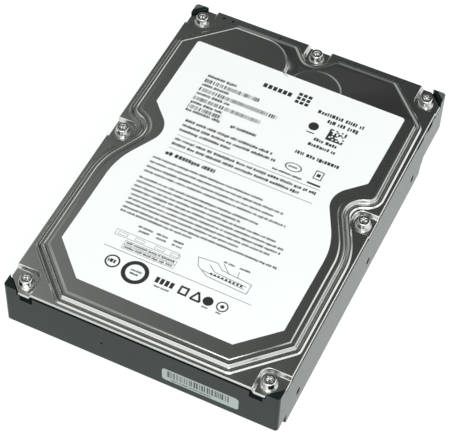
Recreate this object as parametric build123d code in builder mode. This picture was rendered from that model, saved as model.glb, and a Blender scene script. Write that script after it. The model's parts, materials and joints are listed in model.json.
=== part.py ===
from build123d import *
import math
import os

# Hard disk drive, 3.5-inch size, four discs. Millimetres, +Z up, +Y towards the connectors.
# The origin is at the middle of the mounting plane under the drive.

# ---- driving dimensions ----
WIDTH = 101.6
LENGTH = 147.0
HEIGHT = 26.1
HALF_W = WIDTH / 2
HALF_L = LENGTH / 2

LABEL_T = 0.1
BASE_FRONT = LABEL_T - HALF_L       # the front label stands on this face
CORNER_R = 1.2                      # upright corners of the base
PANEL_Z = HEIGHT - LABEL_T          # raised middle of the cover
SHEET_T = 1.0                       # cover sheet
FLANGE_Z = 24.4                     # top of the cover's rim
BEAD_Z = 24.9                       # top of the outer bead
PAD_DEPTH = 1.6                     # screw pads below the rim
WALL_Z = 22.4                       # top of the base's walls
POST_Z = 24.3                       # corner posts
FRONT_BOTTOM = 5.2                  # underside of the end walls
REAR_BOTTOM = 7.0
FLOOR_UNDER = 4.6                   # underside of the base's floor
FLOOR_Z = 7.2                       # inside floor
LEDGE_Z = 8.6                       # step round the inside floor, over the rails
REAR_FLOOR_Z = 11.5                 # floor raised over the connectors
RAIL_X = 43.5                       # inner face of the side rails
RAIL_FRONT = -66.0
RAIL_REAR = 53.0

SPINDLE = (0.0, -22.5)
DISC_R = 47.5
DISC_BORE_R = 12.5
DISC_T = 1.27
DISC_GAP = 2.08
DISC_PITCH = DISC_T + DISC_GAP
DISC_COUNT = 4
SPACER_R = 16.0
STACK_Z = 10.4
STACK_TOP = STACK_Z + (DISC_COUNT - 1) * DISC_PITCH + DISC_T

PIVOT = (-24.0, 29.5)
PARK_ANGLE = -85.8                  # direction of the arms when parked
SWEEP = -29.6                       # turn from parked to the outer track
HEAD_REACH = 50.0
ARM_T = 0.9
ARM_Z = [STACK_Z - DISC_GAP / 2 + k * DISC_PITCH for k in range(DISC_COUNT + 1)]
COIL_Z = 15.5                       # mid height of the voice coil
COIL_T = 2.0

PCB_Z = 0.9
PCB_T = 1.2
PCB_TOP = PCB_Z + PCB_T

THREAD_6_32_R = 1.4                 # modelled wall of a #6-32 hole
SIDE_HOLE_Z = 6.35
SIDE_HOLE_Y = [HALF_L - 28.5, HALF_L - 70.11, HALF_L - 130.1]
BOTTOM_HOLE_X = 47.63
BOTTOM_HOLE_Y = [HALF_L - 41.28, HALF_L - 85.73]

CLEAR = 0.05
SMALL = 0.3

# Places of the seven cover screws.
SCREW_POINTS = [
    (-45.4, 67.0), (45.4, 67.0), (-46.8, 4.9), (46.8, 4.9),
    (-44.8, -68.5), (44.8, -68.5), (0.8, 69.2),
]
SCREW_HOLE_R = 1.3

# Outline of the cover's outer bead, anticlockwise: x, y and corner radius.
BEAD_RIGHT = [
    (31.5, -71.2, 2.5), (48.7, -54.0, 2.5), (48.7, -10.4, 28.0),
    (39.05, 8.9, 5.0), (48.7, 13.0, 3.5),
]
BEAD_REAR = [
    (48.3, 53.9, 2.5), (32.3, 69.9, 2.5), (9.0, 69.9, 2.5), (3.4, 63.6, 5.0),
    (-1.8, 63.6, 5.0), (-7.4, 69.9, 2.5), (-32.1, 69.9, 2.5), (-48.7, 53.3, 2.5),
]
BEAD_LEFT = [(-x, y, r) for x, y, r in reversed(BEAD_RIGHT)]
BEAD_OUTLINE = BEAD_RIGHT + BEAD_REAR + BEAD_LEFT

# The raised panel runs beside the bead, but stops short of it at the rear right.
PANEL_GAP = 2.1
PANEL_REAR = [
    (48.3, 57.0, 4.1), (-4.5, 57.0, 1.0), (-4.5, 69.4, 13.6), (-32.1, 69.4, 2.5),
    (-48.7, 52.8, 2.5),
]
PANEL_BASE = BEAD_RIGHT + PANEL_REAR + BEAD_LEFT


def inset(corners, distance):
    """Move an anticlockwise outline inwards by a distance, with its arcs concentric."""
    moved = []
    for index, (x, y, radius) in enumerate(corners):
        before = corners[index - 1]
        after = corners[(index + 1) % len(corners)]
        into = Vector(x - before[0], y - before[1]).normalized()
        out = Vector(after[0] - x, after[1] - y).normalized()
        left_sum = Vector(-into.Y - out.Y, into.X + out.X)
        shift = left_sum * (distance / (1 + into.dot(out)))
        turns_left = into.X * out.Y - into.Y * out.X > 0
        new_radius = radius - distance if turns_left else radius + distance
        moved.append((x + shift.X, y + shift.Y, max(new_radius, 0.4)))
    return moved


def add_outline(corners, mode=Mode.ADD):
    """Add a face with straight sides and rounded corners, each (x, y, radius)."""
    with BuildLine() as outline:
        FilletPolyline(
            *[(x, y) for x, y, _ in corners],
            radius=[radius for _, _, radius in corners],
            close=True,
        )
    make_face(outline.edges(), mode=mode)


def box_corners(x_low, x_high, y_low, y_high, radius):
    """Corners of an upright rectangle."""
    return [
        (x_low, y_low, radius), (x_high, y_low, radius),
        (x_high, y_high, radius), (x_low, y_high, radius),
    ]


def layer(corners, z_low, z_high, mode=Mode.ADD):
    """A flat layer of the current part, between two heights."""
    with BuildSketch(Plane.XY.offset(z_low)) as face:
        add_outline(corners)
    extrude(face.sketch, amount=z_high - z_low, mode=mode)


def block(x_low, x_high, y_low, y_high, z_low, z_high, mode=Mode.ADD):
    """A plain block of the current part."""
    with Locations(((x_low + x_high) / 2, (y_low + y_high) / 2, (z_low + z_high) / 2)):
        Box(x_high - x_low, y_high - y_low, z_high - z_low, mode=mode)


def post(points, radius, z_low, z_high, mode=Mode.ADD):
    """Upright cylinders of the current part at each point."""
    with Locations(*[(x, y, (z_low + z_high) / 2) for x, y in points]):
        Cylinder(radius, z_high - z_low, mode=mode)


def tube(points, inner, outer, z_low, z_high):
    """Upright rings of the current part at each point."""
    with BuildSketch(Plane.XY.offset(z_low)) as face:
        with Locations(*points):
            Circle(outer)
            Circle(inner, mode=Mode.SUBTRACT)
    extrude(face.sketch, amount=z_high - z_low)


def star(size):
    """Six-lobed driver recess, drawn in the current sketch."""
    RegularPolygon(size, 6)
    with PolarLocations(size * 0.87, 6, start_angle=0):
        Circle(size * 0.24)


def polar(centre, radius, angle):
    """A point at a radius and an angle in degrees round a centre."""
    turn = math.radians(angle)
    return centre[0] + radius * math.cos(turn), centre[1] + radius * math.sin(turn)


def sector(centre, r_low, r_high, angle_low, angle_high, mode=Mode.ADD):
    """A ring sector face in the current sketch."""
    middle = (angle_low + angle_high) / 2
    with BuildLine() as outline:
        outer_arc = ThreePointArc(
            polar(centre, r_high, angle_low),
            polar(centre, r_high, middle),
            polar(centre, r_high, angle_high),
        )
        inner_arc = ThreePointArc(
            polar(centre, r_low, angle_low),
            polar(centre, r_low, middle),
            polar(centre, r_low, angle_high),
        )
        Line(outer_arc @ 0, inner_arc @ 0)
        Line(outer_arc @ 1, inner_arc @ 1)
    make_face(outline.edges(), mode=mode)


def finish_part(builder, label):
    """Name a finished piece and write its file."""
    builder.part.label = label
    export_step(builder.part, f"parts/{label}.step")


os.makedirs("parts", exist_ok=True)

# ---- screw pads, shared by the cover and the base ----
PAD_REACH = 3.5                     # how far the pad shapes run past the edge
PADS = [
    box_corners(41.2, HALF_W + PAD_REACH, 62.6, HALF_L + PAD_REACH, 3.4),
    box_corners(-HALF_W - PAD_REACH, -41.2, 62.6, HALF_L + PAD_REACH, 3.4),
    box_corners(40.5, HALF_W + PAD_REACH, -HALF_L - PAD_REACH, -63.2, 3.4),
    box_corners(-HALF_W - PAD_REACH, -40.5, -HALF_L - PAD_REACH, -63.2, 3.4),
    box_corners(42.3, HALF_W + PAD_REACH, 0.1, 9.9, 3.4),
    box_corners(-HALF_W - PAD_REACH, -42.3, 0.1, 9.9, 3.4),
    box_corners(-4.1, 5.7, 65.2, HALF_L + PAD_REACH, 3.4),
]
PAD_WALL = 1.1
PAD_Z = FLANGE_Z - PAD_DEPTH
POST_LEG = 5.0                      # legs of the triangular corner posts
POST_LINE = HALF_W + HALF_L - POST_LEG
COVER_EDGE_X = 50.7
COVER_FRONT = -73.2
COVER_REAR = 73.2
COVER_CUT = POST_LINE - 0.7
COVER_OUTLINE = [
    (COVER_FRONT + COVER_CUT, COVER_FRONT, 0.4),
    (COVER_EDGE_X, COVER_EDGE_X - COVER_CUT, 0.4),
    (COVER_EDGE_X, COVER_CUT - COVER_EDGE_X, 0.4),
    (COVER_CUT - COVER_REAR, COVER_REAR, 0.4),
    (COVER_REAR - COVER_CUT, COVER_REAR, 0.4),
    (-COVER_EDGE_X, COVER_CUT - COVER_EDGE_X, 0.4),
    (-COVER_EDGE_X, COVER_EDGE_X - COVER_CUT, 0.4),
    (-COVER_FRONT - COVER_CUT, COVER_FRONT, 0.4),
]
BREATHER = (6.9, 52.4)
BREATHER_R = 10.3
RIM_HOLES = [(-38.2, 71.0), (-34.3, 71.0), (-14.9, 71.0)]
RIM_HOLE_R = 0.5

# ---- cover ----
with BuildPart() as top_cover:
    with BuildSketch(Plane.XY.offset(FLANGE_Z - SHEET_T)):
        add_outline(COVER_OUTLINE)
    extrude(amount=SHEET_T)
    for pad in PADS:
        with BuildSketch(Plane.XY.offset(PAD_Z - SHEET_T)):
            add_outline(COVER_OUTLINE)
            add_outline(pad, mode=Mode.INTERSECT)
        extrude(amount=PAD_DEPTH)
    for pad in PADS:
        layer(inset(pad, PAD_WALL), PAD_Z, FLANGE_Z + SHEET_T, mode=Mode.SUBTRACT)
    layer(inset(BEAD_OUTLINE, -0.4), FLANGE_Z - SHEET_T, BEAD_Z)
    layer(inset(PANEL_BASE, 1.5), BEAD_Z, PANEL_Z)
    layer(inset(BEAD_OUTLINE, 0.9), FLANGE_Z - SHEET_T - SMALL, BEAD_Z - SHEET_T, mode=Mode.SUBTRACT)
    layer(inset(PANEL_BASE, 2.6), FLANGE_Z - SHEET_T - SMALL, PANEL_Z - SHEET_T, mode=Mode.SUBTRACT)
    with BuildSketch(Plane.XY.offset(PANEL_Z - SMALL)):
        add_outline(inset(PANEL_BASE, 3.3))
        add_outline(inset(PANEL_BASE, 3.8), mode=Mode.SUBTRACT)
        with Locations((0, HALF_L)):
            Rectangle(WIDTH, 2 * (HALF_L - 51.0), mode=Mode.SUBTRACT)
    extrude(amount=SMALL, mode=Mode.SUBTRACT)
    post([BREATHER], BREATHER_R, BEAD_Z - SMALL, BEAD_Z, mode=Mode.SUBTRACT)
    layer(inset(PANEL_BASE, 1.5), BEAD_Z - SMALL, BEAD_Z)
    post(SCREW_POINTS, SCREW_HOLE_R, PAD_Z - SHEET_T - SMALL, PAD_Z + SMALL, mode=Mode.SUBTRACT)
    post(RIM_HOLES, RIM_HOLE_R, FLANGE_Z - SHEET_T - SMALL, FLANGE_Z + SMALL, mode=Mode.SUBTRACT)
finish_part(top_cover, "top_cover")

LABEL_TURN = -0.6                   # the label was stuck on slightly askew
LABEL_HALF = [
    (29.0, -61.4, 0.4), (41.7, -48.7, 0.4), (41.7, -10.0, 30.0),
    (31.2, 10.0, 9.0), (41.7, 20.8, 0.8), (41.7, 54.4, 1.2),
]
LABEL_OUTLINE = LABEL_HALF + [(-x, y, r) for x, y, r in reversed(LABEL_HALF)]
with BuildPart() as main_label:
    with BuildSketch(Plane.XY.offset(PANEL_Z).rotated((0, 0, LABEL_TURN))):
        add_outline(LABEL_OUTLINE)
    extrude(amount=LABEL_T)
finish_part(main_label, "main_label")

COLLAR_H = 0.6
HEAD_H = 3.0
SCREW_LENGTH = 7.0
with BuildPart() as cover_screws:
    post(SCREW_POINTS, 2.9, PAD_Z, PAD_Z + COLLAR_H)
    with Locations(*[(x, y, PAD_Z + (COLLAR_H + HEAD_H) / 2) for x, y in SCREW_POINTS]):
        Cone(2.45, 2.2, HEAD_H - COLLAR_H)
    with BuildSketch(Plane.XY.offset(PAD_Z + HEAD_H)):
        with Locations(*SCREW_POINTS):
            star(1.25)
    extrude(amount=-1.4, mode=Mode.SUBTRACT)
    post(SCREW_POINTS, SCREW_HOLE_R - CLEAR, PAD_Z - SCREW_LENGTH, PAD_Z)
finish_part(cover_screws, "cover_screws")

with BuildPart() as cover_gasket:
    with BuildSketch(Plane.XY.offset(WALL_Z)):
        add_outline(inset(BEAD_OUTLINE, -0.5))
        add_outline(inset(BEAD_OUTLINE, 0.7), mode=Mode.SUBTRACT)
    extrude(amount=FLANGE_Z - SHEET_T - WALL_Z)
    for pad in PADS:
        layer(inset(pad, -SMALL), WALL_Z - SMALL, FLANGE_Z, mode=Mode.SUBTRACT)
finish_part(cover_gasket, "cover_gasket")

with BuildPart() as breather_filter:
    post([BREATHER], 8.5, BEAD_Z - SHEET_T - 1.8, BEAD_Z - SHEET_T)
    fillet(breather_filter.edges().group_by(Axis.Z)[0], 0.5)
finish_part(breather_filter, "breather_filter")

# ---- base casting ----
WELL_R = 15.3
MOTOR_R = 17.0
MOTOR_BOTTOM = 1.2
MOTOR_FLOOR = 2.0                   # thickness of the well's floor
CHAMBER_GAP = 0.5                   # round the discs
CHAMBER_REAR_W = 90.0               # length of the squarer bay behind them
RIM_W = 0.8                         # inside the outer bead
RAIL_TAPER = 1.2                    # slope at the rear of each rail
REAR_CUT = (42.6, 2.4)              # x from, and y from the rails' end, of the higher underside
PIVOT_BOSS = (4.2, 8.4)             # radius and top
EAR_R = 2.8
EAR_HOLE_R = 1.2
PIN_R = 0.9                         # holes for the latch and stop pins
PCB_BOSS_R = 3.0
PCB_HOLE_R = 1.05
SEAT_SCREW_R = 0.97                 # holes for the flex bracket's screws
SLEEVE_R = 4.5
CORE_BOSS_R = 5.6
NOTCH_X = (40.0, 44.8)
NOTCH_Z = 19.3
SATA_X = 20.68                      # middle of the connector from the drive's middle
SATA_HALF = 21.0
REAR_BAY = (-17.5, 42.6, 63.0, 9.4)  # x from, x to, y from, z to: recess for the connectors
PLUG_WINDOW = (3.6, 12.4, 32.6, 37.4)
PCB_SCREWS = [(-38, 66), (38, 55), (-38, 14), (38, 14), (-38, -26), (38, -26)]
POST_CORNERS = [(sx, sy) for sx in (-1, 1) for sy in (-1, 1)]
EAR_POINTS = [polar(PIVOT, 27.0, 122.5), polar(PIVOT, 27.0, 36.0), polar(PIVOT, 34.0, 56.0)]
PLATE_Z = 9.2
LATCH_PIN = (-19.5, 66.0)
TANG = (188.4, 191.6)                # tang on the coil frame, measured from the arms
STOP_TURN = 2.8                     # from the tang's side to the middle of a stop
STOP_POINTS = [
    polar(PIVOT, 32.6, PARK_ANGLE + TANG[1] + STOP_TURN),
    polar(PIVOT, 32.6, PARK_ANGLE + SWEEP + TANG[0] - STOP_TURN),
]
BRACKET = (2.0, 14.0, 29.5, 40.5)
BRACKET_SCREWS = [(4.0, 30.6), (12.0, 39.4)]
WALL_DIPS = [(55.6, 60.6, 20.6), (46.0, 52.0, 21.2)]   # y from, y to, z from, in the side walls
DIP_W = 1.2
DIMPLE = (-14.0, 13.8)              # x and z
DIMPLE_R = 0.5
DIMPLE_DEPTH = 0.3
FRONT_LABEL = (8.6, 36.6, 8.4, 14.8)   # x from, x to, z from, z to
FRONT_LABEL_R = 1.3

with BuildPart() as base_casting:
    layer(box_corners(-HALF_W, HALF_W, BASE_FRONT, HALF_L, CORNER_R), FLOOR_UNDER, WALL_Z)
    block(
        -HALF_W - 1, HALF_W + 1, -HALF_L - 1, RAIL_FRONT, FLOOR_UNDER - 1, FRONT_BOTTOM,
        mode=Mode.SUBTRACT,
    )
    for side in (-1, 1):
        x_in = side * RAIL_X
        x_out = side * HALF_W
        block(min(x_in, x_out), max(x_in, x_out), RAIL_FRONT, RAIL_REAR, 0, FLOOR_UNDER)
        with BuildSketch(Plane.YZ.offset(min(x_in, x_out))):
            with BuildLine():
                Polyline(
                    (RAIL_REAR, FLOOR_UNDER), (RAIL_REAR, 0), (RAIL_REAR + RAIL_TAPER, FLOOR_UNDER),
                    close=True,
                )
            make_face()
        extrude(amount=HALF_W - RAIL_X)
        block(
            *sorted((side * REAR_CUT[0], side * (HALF_W + 1))),
            RAIL_REAR + REAR_CUT[1], HALF_L + 1, FLOOR_UNDER - 1, REAR_BOTTOM, mode=Mode.SUBTRACT,
        )
    # disc chamber: a round bay for the discs and a squarer one behind it
    with BuildSketch(Plane.XY.offset(LEDGE_Z)) as chamber:
        with Locations(SPINDLE):
            Circle(DISC_R + CHAMBER_GAP)
        with Locations((0, HALF_L - CHAMBER_REAR_W / 2)):
            Rectangle(WIDTH, CHAMBER_REAR_W)
        add_outline(inset(BEAD_OUTLINE, RIM_W), mode=Mode.INTERSECT)
    extrude(amount=WALL_Z, mode=Mode.SUBTRACT)
    with BuildSketch(Plane.XY.offset(FLOOR_Z)):
        add(chamber.sketch.moved(Location((0, 0, FLOOR_Z - LEDGE_Z))))
        Rectangle(2 * RAIL_X - 0.4, LENGTH, mode=Mode.INTERSECT)
    extrude(amount=LEDGE_Z - FLOOR_Z + 0.1, mode=Mode.SUBTRACT)
    block(-18.5, 44.0, 62.0, 71.5, FLOOR_Z - 1, REAR_FLOOR_Z)
    # spindle motor well
    post([SPINDLE], MOTOR_R, MOTOR_BOTTOM, FLOOR_UNDER)
    post([SPINDLE], WELL_R, MOTOR_BOTTOM + MOTOR_FLOOR, LEDGE_Z + 1, mode=Mode.SUBTRACT)
    post([SPINDLE], CORE_BOSS_R, MOTOR_BOTTOM + 1, 12.8)
    post([SPINDLE], SLEEVE_R, MOTOR_BOTTOM + 1.0, 14.0, mode=Mode.SUBTRACT)
    # bosses on the floor
    post([PIVOT], PIVOT_BOSS[0], FLOOR_Z - SMALL, PIVOT_BOSS[1])
    post(EAR_POINTS, EAR_R, FLOOR_Z - SMALL, PLATE_Z)
    post(EAR_POINTS, EAR_HOLE_R, FLOOR_UNDER + 0.6, PLATE_Z + 1, mode=Mode.SUBTRACT)
    post([PIVOT], 1.6, FLOOR_UNDER + 0.6, 9.0, mode=Mode.SUBTRACT)
    post([LATCH_PIN] + STOP_POINTS, PIN_R, FLOOR_UNDER + 0.8, 9.0, mode=Mode.SUBTRACT)
    # room for the circuit board's side
    block(*REAR_BAY[:2], REAR_BAY[2], HALF_L + 1, FLOOR_UNDER - 1, REAR_BAY[3], mode=Mode.SUBTRACT)
    block(*PLUG_WINDOW, FLOOR_UNDER - 1, FLOOR_Z + 1, mode=Mode.SUBTRACT)
    post(BRACKET_SCREWS, SEAT_SCREW_R, FLOOR_UNDER + 0.8, FLOOR_Z + 1, mode=Mode.SUBTRACT)
    post(PCB_SCREWS, PCB_BOSS_R, PCB_TOP, FLOOR_UNDER)
    post(PCB_SCREWS, PCB_HOLE_R, PCB_TOP - 1, FLOOR_Z - 0.8, mode=Mode.SUBTRACT)
    # cover screws: lowered pads, threaded bosses and notches in the end walls
    for pad in PADS:
        layer(inset(pad, -0.2), PAD_Z - SHEET_T - 0.1, WALL_Z + SMALL, mode=Mode.SUBTRACT)
    for sx, sy in POST_CORNERS:
        with BuildSketch(Plane.XY.offset(WALL_Z - 1)):
            add_outline(box_corners(-HALF_W, HALF_W, BASE_FRONT, HALF_L, CORNER_R))
            with BuildLine():
                Polyline(
                    (sx * (POST_LINE - HALF_L - 2), sy * (HALF_L + 2)),
                    (sx * (HALF_W + 2), sy * (POST_LINE - HALF_W - 2)),
                    (sx * (HALF_W + 2), sy * (HALF_L + 2)),
                    close=True,
                )
            make_face(mode=Mode.INTERSECT)
        extrude(amount=POST_Z - WALL_Z + 1)
    post(SCREW_POINTS, SCREW_HOLE_R, PAD_Z - 8.0, WALL_Z + 1, mode=Mode.SUBTRACT)
    for side in (-1, 1):
        block(
            min(side * NOTCH_X[0], side * NOTCH_X[1]), max(side * NOTCH_X[0], side * NOTCH_X[1]),
            -HALF_L - 1, BASE_FRONT + 1.3, NOTCH_Z, WALL_Z + 1, mode=Mode.SUBTRACT,
        )
    for y_low, y_high, z_low in WALL_DIPS:
        for side in (-1, 1):
            layer(
                box_corners(*sorted((side * (HALF_W - DIP_W), side * (HALF_W + 1))), y_low, y_high, 0.5),
                z_low, WALL_Z + 1, mode=Mode.SUBTRACT,
            )
    # mark of an ejector pin in the front wall
    with Locations(Location((DIMPLE[0], BASE_FRONT, DIMPLE[1]), (90, 0, 0))):
        Cylinder(DIMPLE_R, 2 * DIMPLE_DEPTH, mode=Mode.SUBTRACT)
    # mounting holes
    for side in (-1, 1):
        for y in SIDE_HOLE_Y:
            with Locations(Location((side * (HALF_W - 2.5), y, SIDE_HOLE_Z), (0, 90, 0))):
                Cylinder(THREAD_6_32_R, 5.0, mode=Mode.SUBTRACT)
        for y in BOTTOM_HOLE_Y:
            post([(side * BOTTOM_HOLE_X, y)], THREAD_6_32_R, 0, 5.0, mode=Mode.SUBTRACT)
finish_part(base_casting, "base_casting")

with BuildPart() as front_barcode_label:
    with BuildSketch(Plane.XZ.offset(-BASE_FRONT)) as label_face:
        add_outline(box_corners(*FRONT_LABEL, FRONT_LABEL_R))
    extrude(label_face.sketch, amount=LABEL_T)
finish_part(front_barcode_label, "front_barcode_label")

# ---- spindle motor and disc stack ----
with BuildPart() as spindle_sleeve:
    tube([SPINDLE], 2.02, SLEEVE_R, MOTOR_BOTTOM + 1.4, 15.4)
    post([SPINDLE], SLEEVE_R, MOTOR_BOTTOM + 1.0, MOTOR_BOTTOM + 1.4)
finish_part(spindle_sleeve, "spindle_sleeve")

TEETH = 9
CORE_Z = (9.0, 12.6)
with BuildPart() as stator_core:
    with BuildSketch(Plane.XY.offset(CORE_Z[0])):
        with Locations(SPINDLE):
            Circle(6.6)
            with PolarLocations(7.6, TEETH):
                Rectangle(3.0, 1.1)
            with PolarLocations(9.0, TEETH):
                Rectangle(0.7, 4.8)
            Circle(CORE_BOSS_R, mode=Mode.SUBTRACT)
    extrude(amount=CORE_Z[1] - CORE_Z[0])
finish_part(stator_core, "stator_core")

with BuildPart() as stator_coils:
    with BuildSketch(Plane.XY.offset(CORE_Z[0] - 0.9)):
        with Locations(SPINDLE):
            with PolarLocations(7.65, TEETH):
                RectangleRounded(1.7, 2.6, 0.4)
    extrude(amount=CORE_Z[1] - CORE_Z[0] + 1.8)
    with BuildSketch(Plane.XY.offset(CORE_Z[0])):
        with Locations(SPINDLE):
            with PolarLocations(7.65, TEETH):
                Rectangle(3.0, 1.1)
    extrude(amount=CORE_Z[1] - CORE_Z[0], mode=Mode.SUBTRACT)
finish_part(stator_coils, "stator_coils")

HUB_R = DISC_BORE_R - CLEAR
HUB_TOP = STACK_TOP - 0.2
with BuildPart() as spindle_hub:
    with BuildSketch(Plane.XZ.offset(-SPINDLE[1])):
        with BuildLine():
            Polyline(
                (2.0, 16.0), (10.8, 16.0), (10.8, LEDGE_Z + 0.3), (15.2, LEDGE_Z + 0.3),
                (15.2, STACK_Z), (HUB_R, STACK_Z), (HUB_R, HUB_TOP), (2.0, HUB_TOP), close=True,
            )
        make_face()
    revolve(axis=Axis((SPINDLE[0], SPINDLE[1], 0), (0, 0, 1)))
    with BuildSketch(Plane.XY.offset(HUB_TOP)):
        with Locations(SPINDLE):
            with PolarLocations(8.6, 6, start_angle=30):
                Circle(1.0)
    extrude(amount=-4.5, mode=Mode.SUBTRACT)
finish_part(spindle_hub, "spindle_hub")

with BuildPart() as spindle_shaft:
    post([SPINDLE], 2.0, MOTOR_BOTTOM + 1.5, HUB_TOP)
finish_part(spindle_shaft, "spindle_shaft")

with BuildPart() as rotor_magnet:
    tube([SPINDLE], 9.75, 10.8, LEDGE_Z + 0.4, 13.8)
finish_part(rotor_magnet, "rotor_magnet")

for number in range(DISC_COUNT):
    disc_z = STACK_Z + number * DISC_PITCH
    with BuildPart() as disc:
        tube([SPINDLE], DISC_BORE_R, DISC_R, disc_z, disc_z + DISC_T)
        chamfer(disc.edges().filter_by(GeomType.CIRCLE), 0.12)
    finish_part(disc, f"disc_{number + 1}")

with BuildPart() as disc_spacers:
    for number in range(DISC_COUNT - 1):
        ring_z = STACK_Z + number * DISC_PITCH + DISC_T
        tube([SPINDLE], DISC_BORE_R, SPACER_R, ring_z, ring_z + DISC_GAP)
finish_part(disc_spacers, "disc_spacers")

CLAMP_T = 1.1
CLAMP_SCREW_R = 8.6
with BuildPart() as disc_clamp:
    with BuildSketch(Plane.XY.offset(STACK_TOP)):
        with Locations(SPINDLE):
            Circle(16.2)
            Circle(3.2, mode=Mode.SUBTRACT)
            with PolarLocations(CLAMP_SCREW_R, 6, start_angle=30):
                Circle(1.15, mode=Mode.SUBTRACT)
            with PolarLocations(CLAMP_SCREW_R, 6):
                Circle(0.9, mode=Mode.SUBTRACT)
    extrude(amount=CLAMP_T)
    chamfer(disc_clamp.edges().group_by(Axis.Z)[-1].sort_by(SortBy.LENGTH)[-1], 0.4)
finish_part(disc_clamp, "disc_clamp")

with BuildPart() as clamp_screws:
    points = [polar(SPINDLE, CLAMP_SCREW_R, 30 + 60 * k) for k in range(6)]
    post(points, 1.9, STACK_TOP + CLAMP_T, STACK_TOP + CLAMP_T + 1.0)
    post(points, 1.0 - 0.02, STACK_TOP - 3.5, STACK_TOP + CLAMP_T)
    with BuildSketch(Plane.XY.offset(STACK_TOP + CLAMP_T + 1.0)):
        with Locations(*points):
            star(0.85)
    extrude(amount=-0.6, mode=Mode.SUBTRACT)
finish_part(clamp_screws, "clamp_screws")

# ---- actuator ----
arm_axis = polar((0, 0), 1, PARK_ANGLE)


def arm_plane(z):
    """Plane at a height with its origin on the pivot and its X along the parked arms."""
    return Plane(origin=(*PIVOT, z), x_dir=(*arm_axis, 0), z_dir=(0, 0, 1))


def arm_layer(corners, z_low, z_high, mode=Mode.ADD):
    """A flat layer of the current part, drawn along the arms."""
    with BuildSketch(arm_plane(z_low)) as face:
        add_outline(corners)
    extrude(face.sketch, amount=z_high - z_low, mode=mode)


def arm_points(points):
    """Places given along and across the parked arms, in the drive's frame."""
    plane = arm_plane(0)
    found = [plane.from_local_coords(Vector(x, y, 0)) for x, y in points]
    return [(point.X, point.Y) for point in found]


BODY_LOW = ARM_Z[0] - ARM_T / 2
BODY_HIGH = ARM_Z[-1] + ARM_T / 2
CARTRIDGE_R = 6.6
SHAFT_R = 2.4
COIL_MID = 180.0                    # the coil lies opposite the arms
FORK_HALF = 21.5
with BuildPart() as pivot_shaft:
    post([PIVOT], SHAFT_R, 8.4, BODY_HIGH)
    post([PIVOT], 1.55, FLOOR_UNDER + 0.8, 8.4)
    with BuildSketch(Plane.XY.offset(BODY_HIGH)):
        with Locations(PIVOT):
            star(1.1)
    extrude(amount=-1.0, mode=Mode.SUBTRACT)
finish_part(pivot_shaft, "pivot_shaft")

RACE_Z = [(BODY_LOW + 0.8, BODY_LOW + 3.8), (BODY_HIGH - 3.8, BODY_HIGH - 0.8)]
with BuildPart() as pivot_inner_races:
    for z_low, z_high in RACE_Z:
        tube([PIVOT], SHAFT_R, 3.2, z_low, z_high)
finish_part(pivot_inner_races, "pivot_inner_races")

with BuildPart() as pivot_outer_races:
    for z_low, z_high in RACE_Z:
        tube([PIVOT], 4.5, 5.3, z_low, z_high)
finish_part(pivot_outer_races, "pivot_outer_races")

with BuildPart() as pivot_balls:
    for z_low, z_high in RACE_Z:
        with Locations((*PIVOT, (z_low + z_high) / 2)):
            with PolarLocations(3.85, 9):
                Sphere(0.58)
finish_part(pivot_balls, "pivot_balls")

with BuildPart() as pivot_cartridge:
    tube([PIVOT], 5.3, CARTRIDGE_R, BODY_LOW + 0.3, BODY_HIGH - 0.3)
finish_part(pivot_cartridge, "pivot_cartridge")

ARM_CORNERS = [
    (0, -7.6, 0.5), (5, -7.6, 3.0), (15, -4.2, 12.0), (33.5, -2.6, 1.6),
    (33.5, 2.6, 1.6), (15, 4.2, 12.0), (5, 7.6, 3.0), (0, 7.6, 0.5),
]
ARM_HOLE = [(14, -2.0, 0.8), (26, -1.2, 0.8), (26, 1.2, 0.8), (14, 2.0, 0.8)]
with BuildPart() as head_stack_block:
    post([PIVOT], 8.5, BODY_LOW, BODY_HIGH)
    arm_layer(box_corners(-6.0, 2.2, 4.0, 8.9, 0.4), BODY_LOW, BODY_HIGH)
    for arm_z in ARM_Z:
        arm_layer(ARM_CORNERS, arm_z - ARM_T / 2, arm_z + ARM_T / 2)
        arm_layer(ARM_HOLE, arm_z - ARM_T / 2, arm_z + ARM_T / 2, mode=Mode.SUBTRACT)
    with BuildSketch(arm_plane(COIL_Z - 1.6)) as fork:
        sector((0, 0), 6.8, 13.2, COIL_MID - 30, COIL_MID + 30)
    extrude(fork.sketch, amount=3.2)
    post([PIVOT], CARTRIDGE_R, BODY_LOW - 1, BODY_HIGH + 1, mode=Mode.SUBTRACT)
finish_part(head_stack_block, "head_stack_block")

with BuildPart() as coil_frame:
    with BuildSketch(arm_plane(COIL_Z - 0.9)):
        sector((0, 0), 13.2, 30.0, COIL_MID - FORK_HALF, COIL_MID + FORK_HALF)
        sector((0, 0), 16.0, 28.5, COIL_MID - 18.5, COIL_MID + 18.5, mode=Mode.SUBTRACT)
        sector((0, 0), 29.5, 33.6, *TANG)
    extrude(amount=1.8)
finish_part(coil_frame, "coil_frame")

with BuildPart() as voice_coil:
    with BuildSketch(arm_plane(COIL_Z - COIL_T / 2)):
        sector((0, 0), 16.0, 28.5, COIL_MID - 18.5, COIL_MID + 18.5)
        sector((0, 0), 19.6, 25.0, COIL_MID - 9.5, COIL_MID + 9.5, mode=Mode.SUBTRACT)
    extrude(amount=COIL_T)
    fillet(voice_coil.edges().filter_by(Axis.Z), 0.9)
finish_part(voice_coil, "voice_coil")

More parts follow.
